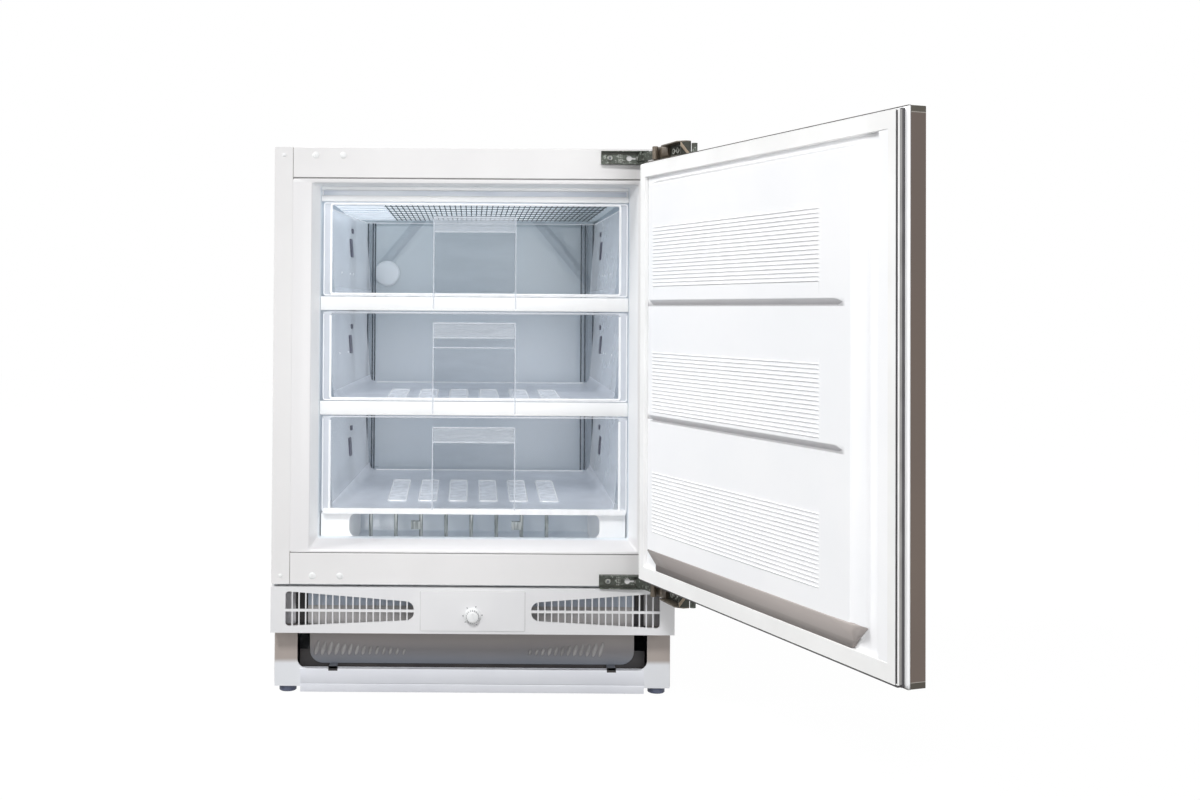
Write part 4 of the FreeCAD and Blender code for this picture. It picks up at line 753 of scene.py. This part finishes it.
# Painted shadow: the frame is tan on its upper part, in the grille's shade.
grille_shadow_paint = kick_paint.between(kick_paint.axis("Z") + kick_paint.noise(8.0) * 0.006, 0.047, 0.056)
kick_paint.feed("Base Color", kick_paint.mix(grille_shadow_paint, (232, 234, 238), (172, 162, 156)))
kick_paint.feed("Roughness", kick_paint.noise(6.0, 4.0) * 0.08 + 0.28)
kick_paint.grain(800.0, 0.05, 0.4)
dress(kick_paint, "kick_frame")
plinth_white = Finish("plinth bar paint", (236, 238, 244), 0.34)
plinth_white.mottle((229, 231, 238), 8.0, 0.3, 0.7, 0.08).grain(800.0, 0.05, 0.4)
plinth = strip([
    (47.0, 35.6), (47.0, 37.0), (37.4, 37.0), (36.5, 36.5), (36.2, 35.4), (36.2, 15.4), (36.6, 14.6),
    (37.3, 14.2), (37.0, 13.4), (36.8, 12.0), (36.8, 3.0), (37.2, 1.8), (38.2, 1.5), (38.2, 35.6),
], -259.0, 259.0)
build("plinth_strip", "cabinet", plinth_white, [plinth], ["kick_bar"])
build("hook_caps", "cabinet", slot_shade_and_cap_dark,
      [block(x - 7.0, x + 7.0, 36.0, 37.0, 33.5, 41.0) for x in (-210.0, 210.0)], bevel=0.4)


# Drip tray: a grey tub behind the kick frame, which catches the defrost water.
# Moulded polypropylene with a row of stiffening scallops along its front wall, painted lighter as highlights.
# Two hooks hang it on the edge of the opening.
tray_grey = Finish("grey tray plastic", (158, 153, 151), 0.42)
up_wall = tray_grey.between(tray_grey.axis("Z") + tray_grey.noise(9.0) * 0.012, 0.044, 0.092)
tray_grey.feed("Base Color", tray_grey.mix(up_wall, (98, 103, 112), (160, 154, 152)))
tray_grey.grain(500.0, 0.08, 0.4)
dress(tray_grey, "drip_tray")
tray_front, tray_thick = 52.2, 1.6
tray_face = slab(rounded(-247.0, 246.0, 41.0, 134.0, 20.0), tray_front, tray_front + tray_thick)
build("tray_face", "cabinet", tray_grey, [tray_face], bevel=0.5)
# Painted shade: a dark sheet behind the tray's face, for the gap round the tray.
build("tray_shade", "cabinet", slot_shade_and_cap_dark, [block(-262.0, 262.0, 53.82, 53.96, 33.0, 62.0)])
# Painted highlight: the scallops are lighter, for light falling through the grille bars.
tray_painted_highlight = Finish("painted tray highlight", (178, 176, 176), 0.36)
tray_painted_highlight.mottle((150, 148, 148), 40.0, 0.35, 0.7, 0.1).grain(500.0, 0.08, 0.4)
pearl = np.array([(0.02, 1.0), (0.5, 0.87), (0.8, 0.6), (0.95, 0.3), (1.0, 0.0)])
scallops = []
for run in (np.linspace(-236.0, -104.0, 14), np.linspace(196.0, 88.0, 12)):
    for x, share in zip(run, np.linspace(0.0, 1.0, len(run))):
        middle = np.array([x, tray_front + 0.1, 64.0 - 5.0 * share])
        points, faces = turned(middle, to_front, pearl * (3.6 - 1.2 * share, 2.4), 14)
        leaning = (points - middle) * (1.0, 1.0, 3.2 - 1.2 * share)
        leaning[:, 0] += 0.25 * leaning[:, 2]
        scallops.append((middle + leaning, faces))
build("tray_scallops", "cabinet", tray_painted_highlight, scallops)


# Front feet: two screwed feet of slate-grey plastic with a knurled skirt.
# They turn in the base pan to level the cabinet.
foot_grey = Finish("slate foot plastic", (70, 76, 98), 0.5)
foot_grey.mottle((88, 94, 114), 90.0, 0.4, 0.7, 0.1).grain(700.0, 0.1, 0.4)
dress(foot_grey, "left_foot", "right_foot")


# Hinges: two sets of stamped steel brackets, links and housings that swing the door out
# of the niche. Zinc-coated steel with a dark oily tone, worn brighter in small spots.
# The brackets are screwed to the rails, the housings to the door's ends.
def specked_steel(name, clean, dark, spots, cloud_scale, spot_scale, spot_range, metallic):
    """Steel that drifts from clean to dark, with small bright spots where fine noise is high."""
    finish = Finish(name, clean, 0.4, Metallic=metallic)
    tone = finish.mix(finish.between(finish.noise(cloud_scale), 0.4, 0.65), clean, dark)
    spot = finish.between(finish.noise(spot_scale, 3.0), *spot_range)
    finish.feed("Base Color", finish.mix(spot, tone, spots))
    return finish.grain(420.0, 0.15, 0.5, 3.0)


hinge_steel = specked_steel("oiled hinge steel", (82, 88, 80), (56, 58, 51), (142, 147, 140),
                            60.0, 260.0, (0.56, 0.66), 0.35)
hinge_steel.feed("Roughness", hinge_steel.noise(90.0) * 0.2 + 0.32)
housing_steel = specked_steel("brown-grey housing steel", (116, 108, 97), (76, 70, 62), (150, 142, 129),
                              70.0, 200.0, (0.60, 0.72), 0.3)
browned_steel = Finish("browned hinge steel", (106, 96, 84), 0.36, Metallic=0.35)
browned_steel.mottle((148, 136, 120), 70.0, 0.5, 0.72, 0.2).grain(420.0, 0.15, 0.5, 3.0)
tan_steel = Finish("tan hinge steel", (168, 152, 132), 0.4, Metallic=0.2)
tan_steel.mottle((150, 134, 114), 70.0, 0.45, 0.7, 0.1).grain(420.0, 0.1, 0.5, 3.0)
# Painted shade: dark strips under the brackets' top flanges and inside the housings.
hinge_shade_dark = Finish("painted hinge shade", (52, 54, 47), 0.45, Metallic=0.3)
hinge_shade_dark.mottle((70, 72, 64), 90.0, 0.45, 0.7, 0.15).grain(420.0, 0.15, 0.5, 3.0)
bright_steel = Finish("dull screw steel", (158, 160, 154), 0.34, Metallic=0.5)
bright_steel.mottle((104, 106, 100), 160.0, 0.45, 0.65, 0.15).grain(900.0, 0.08, 0.3)
dress(hinge_steel, "upper_hinge_link", "lower_hinge_link", "cabinet_pins", "door_pins", "door_studs")

door_open, link_turn = math.radians(110.0), math.radians(-48.62)
cabinet_pivot, closed_pivot = np.array([244.8, -8.0]), np.array([286.5, -23.0])
door_half, door_low, door_top = 297.5, 190.2, 794.4


def swing(plan, angle):
    """Turns (x, y) points about the origin."""
    across, along = math.cos(angle), math.sin(angle)
    return plan @ np.array([(across, along), (-along, across)])


open_pivot = cabinet_pivot + swing(closed_pivot - cabinet_pivot, link_turn)


def opened(patch):
    """Swings a patch from the closed door to the open one: turned by 110 degrees about the
    closed pivot, and set down on the open pivot."""
    points, faces = patch
    plan = open_pivot + swing(points[:, :2] - closed_pivot, door_open)
    return np.column_stack([plan, points[:, 2]]), faces


def above(patch):
    """The upper hinge is worked out in its own place."""
    return patch


def below(patch):
    """The lower hinge is the upper one mirrored about the door's mid height."""
    points, faces = patch
    return points * (1.0, 1.0, -1.0) + (0.0, 0.0, door_low + door_top), faces


def keyed(x0, x1, z0, z1, y0, y1, x, z, wide, narrow, reach):
    """A plate with a keyhole: its edge and the hole are both worked out by angle round (x, z);
    the hole is a circle that runs out into a slot on its right."""
    a = np.linspace(0, 2 * np.pi, 96, endpoint=False)
    across, rise = np.cos(a), np.sin(a)
    run, climb = np.maximum(np.abs(across), 1e-6), np.maximum(np.abs(rise), 1e-6)
    edge = np.minimum(np.where(across > 0, x1 - x, x - x0) / run, np.where(rise > 0, z1 - z, z - z0) / climb)
    hole = np.maximum(wide, np.where(across > 0, np.minimum(reach, narrow / climb), 0))
    centre, way = np.array([x, z]), np.column_stack([across, rise])
    return plate(centre + way * edge[:, None], centre + way * hole[:, None], y0, y1)


hinge_low, hinge_top, screw_z = 796.4, 816.4, 806.0
bracket_left, bracket_right, bracket_face = 187.0, 257.0, -1.8
keyhole = {"x": 228.8, "z": screw_z, "wide": 4.2, "narrow": 1.5, "reach": 11.0}
bracket = [keyed(bracket_left, bracket_right, hinge_low, hinge_top, bracket_face, 0.0, **keyhole)]
flange = np.array([(bracket_left, 0.0), (bracket_left, -8.0), (bracket_right, -12.0), (bracket_right, 0.0)])
bracket += [prism(flange, z0, z1) for z0, z1 in ((815.0, hinge_top), (hinge_low, 797.6))]
bracket_shade = block(187.6, 250.0, -2.3, -1.7, 811.0, 815.0)
screw_places = (200.0, 243.0)
screw_curve = [(0.1, 1.7), (2.0, 1.7), (2.2, 2.3), (3.6, 2.2), (4.3, 1.2), (4.5, 0.0)]
cross_curve = [(0.1, 0.5), (1.9, 0.4), (2.0, 0.0)]
screws = [turned((x, bracket_face, screw_z), to_front, screw_curve) for x in screw_places]
crosses = [turned((x, -3.4, screw_z), to_front, cross_curve, 12) for x in screw_places]
screws += [block(x, x + 0.9, -2.6, -1.6, z, z + 2.2)
           for x in (213.0, 215.2, 217.4) for z in np.arange(799.5, 813.0, 3.4)]

housing_end, housing_back, housing_front, housing_low = 196.0, -31.0, -13.5, door_top
end_plan = [(206.0, housing_front), (housing_end, -22.0), (housing_end, housing_back)]
floor_plan = np.array([(door_half, housing_back), (door_half, housing_front)] + end_plan)
roof_plan = np.array([(262.0, housing_back), (258.0, -17.0)] + end_plan)
housing = [
    block(housing_end, door_half, housing_back, -29.2, housing_low, hinge_top),
    prism(floor_plan, housing_low, 796.2), prism(roof_plan, 814.6, hinge_top),
]
lining = [
    block(198.0, 296.0, -29.1, -28.8, 796.3, 814.5),
    block(housing_end, 197.8, housing_back, -14.6, 796.2, 814.6),
]
hump = np.linspace(0.15, np.pi - 0.15, 12)
covers = []
for x0, x1, proud in ((275.0, 292.0, 2.8), (252.0, 270.0, 6.4)):
    curl = np.column_stack([-30.6 + proud * np.sin(hump), 808.6 + 9.6 * np.cos(hump)])
    covers.append(strip(np.vstack([curl, [(-30.8, 799.2), (-30.8, 818.0)]]), x0, x1))
end_strip = strip([(-14.6, 814.2), (-14.6, 808.0), (-25.0, 797.0), (-30.2, 797.0)], 195.2, 195.9)
collar = turned((*open_pivot, 798.6), up, [(3.4, 0.0), (4.4, 0.6), (4.4, 19.0), (3.4, 19.6)], 20)
rivet_curve = [(2.2, 0.2), (2.3, 2.6), (3.8, 2.8), (4.6, 2.0), (4.6, 0.0)]
rivets = [turned((x, -28.8, screw_z), (0, 1, 0), rivet_curve, 20) for x in (226.0, 238.0)]


for hinge, placed in (("upper", above), ("lower", below)):
    def fixed_part(name, body, finish, patches, replaces=(), bevel=0.0):
        build(hinge + name, body, finish, [placed(patch) for patch in patches],
              replaces, bevel=bevel)

    def swung_part(name, finish, patches, replaces=(), bevel=0.0):
        build(hinge + name, "door", finish, [opened(placed(patch)) for patch in patches],
              replaces, bevel=bevel)

    # Painted shade: a dark strip under the top flange, and a dark lining in the housing.
    fixed_part("_bracket_shade", "cabinet", hinge_shade_dark, [bracket_shade])
    fixed_part("_bracket", "cabinet", hinge_steel, bracket, [hinge + "_hinge_bracket"], 0.3)
    swung_part("_housing", housing_steel, housing, [hinge + "_hinge_housing"], 0.3)
    swung_part("_housing_lining", hinge_shade_dark, lining)
    swung_part("_link_cover", browned_steel, covers, bevel=0.3)
    swung_part("_end_strip", tan_steel, [end_strip])
    fixed_part("_link_collar", "hinge_links", browned_steel, [collar])
    swung_part("_rivets", bright_steel, rivets, bevel=0.3)
build("bracket_screws", "cabinet", bright_steel, screws + [below(screw) for screw in screws],
      ["hinge_screws"])
# Painted shade: a dark disc in each screw head for its cross recess.
build("screw_crosses", "cabinet", ink_and_cross_shade, crosses + [below(cross) for cross in crosses])


# Door: a folded skin of grey-brown coated steel around foam, with a plastic cap at each end.
# It swings about the hinges' pivots, and stands 110 degrees open in the rest pose.
# Its pieces are worked out closed and then swung.
door_coat = Finish("grey-brown coated steel", (94, 79, 67), 0.42, Metallic=0.1)
coat = door_coat.mix(door_coat.between(door_coat.axis("Z"), 0.2, 0.8), (106, 93, 84), (90, 76, 66))
coat_cloud = door_coat.noise(3.0, 4.0)
coat_drift = door_coat.between(coat_cloud, 0.35, 0.65) * 0.5
door_coat.feed("Base Color", door_coat.mix(coat_drift, coat, (86, 76, 72)))
door_coat.feed("Roughness", coat_cloud * 0.14 + 0.35)
door_coat.grain(650.0, 0.06, 0.4)
dress(door_coat, "door_panel")
cap_plastic = Finish("olive-grey cap plastic", (62, 57, 48), 0.42)
cap_plastic.mottle((78, 72, 62), 20.0, 0.4, 0.7, 0.1).grain(900.0, 0.08, 0.3)
dress(cap_plastic, "door_caps")
pale_seam = Finish("pale cap seam", (164, 159, 152), 0.5).mottle((150, 145, 138), 60.0, 0.35, 0.7)
cap_seams = [opened(block(-297.62, -296.9, -30.9, -12.2, z - 0.35, z + 0.35)) for z in (787.6, 197.0)]
build("cap_seams", "door", pale_seam, cap_seams)
cap_edges = [opened(block(-296.8, 296.8, -12.5, -9.6, z - 0.3, z + 0.3)) for z in (794.5, 190.1)]
build("cap_edges", "door", cap_plastic, cap_edges)


# Door liner: the white inner face, vacuum drawn, with a raised plug that fills the cabinet's mouth.
# Two sunk lines cut the plug into three fields, each with a band of fine ribs.
# Its flange is clamped between the skin and the gasket.
def door_liner_finish():
    """White, with painted shade, a grey tone, in the two sunk lines and along the plug's upper edge,
    by height and by the place along the open door."""
    finish = Finish("door liner plastic", (247, 247, 248), 0.34, Coat_Weight=0.1)
    cloud = finish.noise(4.0, 4.0)
    plain = finish.mix(finish.between(cloud, 0.3, 0.7), (247, 247, 248), (241, 242, 244))
    height, along = finish.axis("Z"), finish.axis("Y")
    # Painted shade: grey in the sunk lines and along the plug's upper edge, under the gasket.
    sunk = finish.band(height, (0.5852, 0.5862), (0.5866, 0.5962))
    sunk = sunk + finish.band(height, (0.4242, 0.4252), (0.4256, 0.4352))
    upper = finish.band(height, (0.7575, 0.7585), (0.7635, 0.7645)) * finish.between(along, -0.546, -0.544)
    upper = upper * (finish.between(along, -0.50, -0.08) * 0.5 + 0.5)
    upper = upper * (1.0 - finish.between(along, -0.093, -0.091))
    shaded = sunk * finish.between(along, -0.538, -0.531) + upper * 0.9
    finish.feed("Base Color", finish.mix(shaded, plain, (182, 181, 183)))
    finish.feed("Roughness", cloud * 0.08 + 0.3)
    return finish.grain(40.0, 0.04, 2.0, 3.0)


def soft_step(value, rounding=0.1):
    """Rises from 0 to 1 as the value does, with rounded corners."""
    return 0.5 * (np.hypot(value, rounding) - np.hypot(value - 1, rounding) + 1)


def door_face():
    """The face over a grid of (x, z): a flange step, a plug that is the soft least of five slopes,
    two sunk lines with one steep and one slow side, and half-round ribs in three fields."""
    rib_pitch, rib_wide, rib_proud, rib_count = 5.1, 2.2, 1.25, 17
    rib_fields, sunk_lines = (613.0, 438.0, 271.0), (590.0, 429.0)
    flange_step, plug_step, sunk_deep = 4.0, 20.0, 7.0
    x_lines = np.concatenate([
        np.linspace(-297.4, -250.0, 6), np.linspace(-246.0, -206.0, 36), np.linspace(-204.0, -174.0, 8),
        np.linspace(-172.5, -168.5, 5), np.linspace(-160.0, 216.0, 8), np.linspace(221.5, 225.5, 5),
        np.linspace(228.0, 249.0, 20), np.linspace(252.0, 297.4, 8), [-276.3, -275.1, 275.1, 276.3],
    ])
    rib_steps = np.linspace(0, 1, 6)[None, :] * rib_wide + np.arange(rib_count)[:, None] * rib_pitch
    z_lines = np.concatenate(
        [np.linspace(190.5, 211.0, 5), np.linspace(212.0, 218.0, 14), np.linspace(220.0, 239.0, 12)]
        + [np.linspace(240.0, 248.0, 18), np.linspace(259.0, 268.0, 5)]
        + [(start + rib_steps).ravel() for start in rib_fields]
        + [line + np.linspace(-7.0, 7.0, 25) for line in sunk_lines]
        + [np.linspace(362.0, 418.0, 10), np.linspace(528.0, 580.0, 10), np.linspace(702.0, 752.0, 10)]
        + [np.linspace(754.0, 767.0, 22), np.linspace(769.0, 794.0, 7), [211.4, 212.6, 772.0, 773.2]]
    )
    x, z = np.meshgrid(np.unique(x_lines), np.unique(z_lines), indexing="ij")
    slopes = np.stack([
        soft_step((x + 237.0) / 8.0), soft_step((245.5 - x) / 10.0),
        soft_step((z - 226.0) / 18.0, 0.03), soft_step((764.0 - z) / 7.0),
        soft_step((0.749 * (x + 214.0) + 0.663 * (z - 214.0)) / 7.9),
    ])
    plug = -np.log(np.exp(-24.0 * slopes).sum(0)) / 24.0
    inset = np.minimum(door_half - np.abs(x), np.minimum(z - door_low, door_top - z))
    raised = flange_step * np.clip(inset - 21.3, 0, 1) + plug_step * np.clip(plug, 0, None)
    spread = np.clip((x + 216.0) / 14.0, 0.02, 1)
    for line in sunk_lines:
        offset = (z - line) / spread
        cut = np.clip(np.minimum((4.5 - offset) / 7.0, (offset + 4.5) / 1.6), 0, 1)
        raised -= sunk_deep * cut * spread * np.clip(plug, 0, 1)
    ends = np.clip((x + 171.5) / 2.0, 0, 1) * np.clip((224.5 - x) / 2.0, 0, 1)
    for start in rib_fields:
        which = np.clip(np.floor((z - start) / rib_pitch), 0, rib_count - 1)
        across = np.clip((z - start - which * rib_pitch) / rib_wide, 0, 1)
        raised += rib_proud * np.sin(np.pi * across) ** 0.8 * ends
    return loft(np.stack([x, -10.0 + raised, z], axis=-1), around=False, ends=False)


door_white = door_liner_finish()
build("door_inner_face", "door", door_white, [opened(door_face())], ["door_liner"],
      closed=False, wall=1.9)
liner_land = block(-275.0, -258.5, -9.0, -1.0, 213.0, 771.6)
build("liner_land", "door", door_white, [opened(liner_land)], bevel=0.5)


# Plug foot: the slanting underside of the door's plug, painted grey-brown as its shade.
# It is the same drawn sheet, turned under at the bottom and drawn in at its outer end.
# Three points (from x, to x, y, z) give its section.
# Painted shade: grey-brown, darker towards the hinge and on the lower part of the slope.
liner_foot_shade = Finish("shaded liner foot", (176, 168, 163), 0.45)
near_hinge = liner_foot_shade.between(liner_foot_shade.axis("Y"), -0.45, -0.08)
upper_tone = liner_foot_shade.mix(near_hinge, (170, 162, 158), (146, 139, 136))
lower_tone = liner_foot_shade.mix(near_hinge, (160, 152, 148), (130, 123, 120))
on_slope = liner_foot_shade.between(liner_foot_shade.axis("Z"), 0.2215, 0.2230)
liner_foot_shade.feed("Base Color", liner_foot_shade.mix(on_slope, lower_tone, upper_tone))
liner_foot_shade.grain(40.0, 0.04, 2.0, 3.0)
foot_section = ((-212.0, 238.5, -1.2, 213.6), (-217.0, 238.0, -0.7, 222.5), (-231.0, 235.0, 14.25, 244.3))
foot_rows = [[(-214.0, -4.8, 214.6), (-224.0, -3.6, 225.5), (-237.5, -4.4, 239.2)]]
for share in np.linspace(0, 1, 12):
    foot_rows.append([(x0 + (x1 - x0) * share, y, z) for x0, x1, y, z in foot_section])
build("plug_foot", "door", liner_foot_shade, [opened(loft(foot_rows, around=False, ends=False))],
      closed=False, wall=3.0)


# Gasket: a white magnetic seal of soft vinyl, pressed into the groove round the door liner.
# A foot, two thin folds and a square pocket for the magnet, welded at the four corners.
# The folds are painted dark grey, and the inner folds grey, as the shade under the lips.
def seal(outline):
    """An outline of points (inset at the sides, at the bottom and at the top, y), carried round
    the door's rectangle with mitred corners and swung open."""
    outline = np.asarray(outline, float)
    rows = []
    for side, at_top in ((-1, False), (1, False), (1, True), (-1, True)):
        x = side * (door_half - outline[:, 0])
        z = door_top - outline[:, 2] if at_top else door_low + outline[:, 1]
        rows.append(np.column_stack([x, outline[:, 3], z]))
    return opened(loft(rows, ring=True))


def vinyl(name, colour, other, roughness, scale):
    return Finish(name, colour, roughness).mottle(other, scale, 0.35, 0.7, 0.06).grain(600.0, 0.06, 0.3)


gasket_vinyl = vinyl("gasket vinyl", (243, 243, 242), (236, 236, 235), 0.5, 12.0)
# Painted shade: the folds are dark grey and the inner folds grey.
fold_shade_vinyl = vinyl("gasket fold in painted shade", (76, 74, 76), (62, 60, 62), 0.6, 20.0)
shaded_vinyl = vinyl("gasket inner fold in painted shade", (150, 148, 147), (132, 130, 129), 0.6, 20.0)
magnet_pocket = [
    (10.0, 3.2, 3.2, -0.4), (22.4, 22.4, 22.4, -0.4), (23.0, 23.0, 23.0, -1.0), (23.0, 23.0, 23.0, -10.0),
    (21.5, 21.5, 21.5, -10.0), (21.5, 21.5, 21.5, -1.4), (10.0, 3.2, 3.2, -1.0),
]
lip = [(6.2, 3.4, 3.4, -1.5), (7.4, 4.6, 4.6, -1.5), (7.4, 4.6, 4.6, -2.9), (6.2, 3.4, 3.4, -2.9)]
inner_fold = [(6.5, 3.7, 3.7, -2.9), (7.4, 4.6, 4.6, -2.9), (7.4, 4.6, 4.6, -6.1), (6.5, 3.7, 3.7, -6.1)]
folds = [
    (9.9, 3.6, 3.6, -1.1), (21.4, 21.4, 21.4, -1.1), (21.4, 21.4, 21.4, -9.9), (6.6, 0.6, 2.4, -9.9),
    (6.6, 0.6, 2.4, -6.1), (7.4, 1.0, 3.2, -6.1), (7.4, 0.9, 3.4, -1.7), (9.9, 3.6, 3.6, -1.7),
]
build("gasket_lips", "door", gasket_vinyl, [seal(magnet_pocket), seal(lip)], ["door_gasket"])
build("gasket_inner_folds", "door", shaded_vinyl, [seal(inner_fold)])
build("gasket_folds", "door", fold_shade_vinyl, [seal(folds)])


# Foam, back and machine bay: what the freezer needs behind its front.
# Zinc-coated back and pans, a black compressor, copper pipes and bright fins.
# The parts are riveted, clipped and brazed in the bay below the liner.
zinc = Finish("spangled zinc", (178, 182, 186), 0.38, Metallic=0.8)
spangle = zinc.add("ShaderNodeSeparateColor", {}, {"Color": zinc.cells(70.0, "Color")}, "Red")
zinc.feed("Base Color", zinc.mix(spangle, (160, 165, 170), (196, 199, 202)))
zinc.feed("Roughness", spangle * 0.2 + 0.28)
zinc.grain(300.0, 0.05, 0.4)
dress(zinc, "rear_panel", "rear_cover", "bay_ceiling", "base_pan")
foam = Finish("poured foam", (222, 204, 160), 0.85).mottle((206, 186, 140), 40.0, 0.35, 0.7)
foam.relief(foam.cells(260.0, "Distance"), 0.4, 1.0)
dress(foam, "cabinet_foam")
foam_core = block(-294.0, 294.0, -29.5, -12.5, 194.0, 790.0)
build("door_foam_core", "door", foam, [opened(foam_core)], ["door_foam"])
bay_finishes = [
    ("black machine paint", (34, 34, 36), (48, 48, 50), 0.34, 0.0, (25.0, 0.4, 0.7, 0.14), (400.0, 0.15, 0.6),
     ["compressor_shell", "filter_drier", "condenser_tube"]),
    ("black plastic", (40, 40, 42), (54, 54, 56), 0.5, 0.0, (40.0, 0.4, 0.7, 0.1), (900.0, 0.1, 0.3),
     ["relay_box", "fan_shroud", "fan_motor", "fan_rotor", "cable_gland", "rear_feet"]),
    ("grommet rubber", (30, 30, 30), (44, 43, 42), 0.75, 0.0, (80.0, 0.4, 0.7, 0.1), (500.0, 0.15, 0.4),
     ["compressor_grommets"]),
    ("brazed copper", (196, 122, 84), (140, 78, 54), 0.3, 1.0, (30.0, 0.45, 0.75, 0.2), (400.0, 0.06, 0.4),
     ["refrigerant_pipes"]),
    ("bright fin aluminium", (200, 203, 206), (170, 174, 178), 0.26, 1.0, (40.0, 0.4, 0.7, 0.12),
     (700.0, 0.06, 0.3, 2.0, (1.0, 1.0, 0.15)), ["condenser_fins"]),
]
for finish_name, colour, other, roughness, metallic, drift, grain, nodes in bay_finishes:
    finish = Finish(finish_name, colour, roughness, Metallic=metallic).mottle(other, *drift)
    dress(finish.grain(*grain), *nodes)


# Studio: a wide white floor under a white sky, five soft lamps and a narrow one for the mouth.
# The camera stands two metres in front of the cabinet, level with the top of the middle drawer.
# The floor shows white to the camera and keeps the object's shadow.
def showing(nodes):
    """1 or more on rays that show the background: from the camera, off gloss and through plastic."""
    kinds = ("Is Camera Ray", "Is Glossy Ray", "Is Transmission Ray")
    seen, glossy, through = [nodes.add("ShaderNodeLightPath", {}, {}, kind) for kind in kinds]
    return seen + glossy + through


def aimed(place, right, upward):
    """A placing matrix, column by column, from a point and the directions of its own right and up."""
    matrix = np.eye(4)
    matrix[:3] = np.column_stack([right, upward, np.cross(right, upward), place])
    return matrix.T.tolist()


def placed_light(name, kind, place, right, upward, power):
    """A lamp that shines along the opposite of right x up."""
    light = bpy.data.lights.new(name, kind)
    light.energy = power
    holder = bpy.data.objects.new(name, light)
    bpy.context.scene.collection.objects.link(holder)
    holder.matrix_world = aimed(place, right, upward)
    return holder


def soft_lamp(name, place, target, size, power):
    """A square area lamp at a place, facing a target."""
    back = np.asarray(place, float) - target
    back /= np.linalg.norm(back)
    right = np.cross(up, back)
    right /= np.linalg.norm(right)
    placed_light(name, "AREA", place, right, np.cross(back, right), power).data.size = size


floor_half = 9.0
floor_mesh = bpy.data.meshes.new("studio_floor")
floor_corners = floor_half * np.array([(-1, -1, 0), (1, -1, 0), (1, 1, 0), (-1, 1, 0)])
floor_mesh.from_pydata(floor_corners.tolist(), [], [(0, 1, 2, 3)])
studio_floor = bpy.data.objects.new("studio_floor", floor_mesh)
bpy.context.scene.collection.objects.link(studio_floor)
sweep = Finish("studio sweep", (110, 110, 110), 0.9)
plain = Tone(sweep, sweep.shader.outputs[0])
white = sweep.add("ShaderNodeEmission", {}, {"Strength": 1.17})
floor_look = sweep.add("ShaderNodeMixShader", {}, {0: showing(sweep) * 0.84, 1: plain, 2: white})
sweep.plug(sweep.tree.nodes["Material Output"].inputs["Surface"], floor_look)
floor_mesh.materials.append(sweep.material)

world = bpy.data.worlds.new("studio")
bpy.context.scene.world = world
world.use_nodes = True
sky = Nodes(world.node_tree)
sky_light = sky.add("ShaderNodeBackground", {}, {"Color": (0.98, 0.985, 1.0, 1.0), "Strength": 0.1})
white_sky = sky.add("ShaderNodeBackground", {}, {"Color": (1.0, 1.0, 1.0, 1.0)})
sky_look = sky.add("ShaderNodeMixShader", {}, {0: showing(sky), 1: sky_light, 2: white_sky})
sky.plug(sky.tree.nodes["World Output"].inputs["Surface"], sky_look)

cabinet_middle = (0.0, 0.0, 0.5)
soft_lamp("key lamp", (-4.2, -0.2, 4.0), (0.3, -0.3, 0.5), 1.7, 224.0)
soft_lamp("top lamp", (-0.9, -4.85, 4.0), cabinet_middle, 1.0, 164.0)
soft_lamp("front lamp", (0.9, -3.4, 0.3), cabinet_middle, 1.4, 20.0)
soft_lamp("left lamp", (-2.1, -3.0, 1.1), cabinet_middle, 1.0, 16.0)
soft_lamp("right lamp", (2.0, -3.1, 1.1), cabinet_middle, 1.0, 25.0)
mouth_lamp = placed_light("mouth lamp", "SPOT", (0.0, -3.4, 0.5), (1.0, 0.0, 0.0), up, 50.0)
mouth_lamp.data.spot_size = math.radians(9.0)
mouth_lamp.data.spot_blend = 0.4
mouth_lamp.data.shadow_soft_size = 0.2
mouth_lamp.visible_glossy = False

photo_width, photo_height, focal_px, centre_px = 1200, 800, 1331.4875, (470.927, 288.232)
camera_place, yaw, pitch, roll = (-0.003728, -1.980795, 0.577877), 0.00093351, 0.01680078, -0.00659503
turn_z = np.array([[math.cos(yaw), -math.sin(yaw), 0], [math.sin(yaw), math.cos(yaw), 0], [0, 0, 1]])
turn_x = np.array([[1, 0, 0], [0, math.cos(pitch), -math.sin(pitch)], [0, math.sin(pitch), math.cos(pitch)]])
turn_y = np.array([[math.cos(roll), 0, math.sin(roll)], [0, 1, 0], [-math.sin(roll), 0, math.cos(roll)]])
turn = turn_z @ turn_x @ turn_y
lens = bpy.data.cameras.new("studio camera")
lens.sensor_width = 36.0
lens.lens = focal_px / photo_width * lens.sensor_width
lens.shift_x = (photo_width / 2 - centre_px[0]) / photo_width
lens.shift_y = (centre_px[1] - photo_height / 2) / photo_width
camera = bpy.data.objects.new("studio camera", lens)
bpy.context.scene.collection.objects.link(camera)
camera.matrix_world = aimed(camera_place, turn[:, 0], turn[:, 2])
bpy.context.scene.camera = camera
bpy.context.scene.view_settings.view_transform = "Standard"
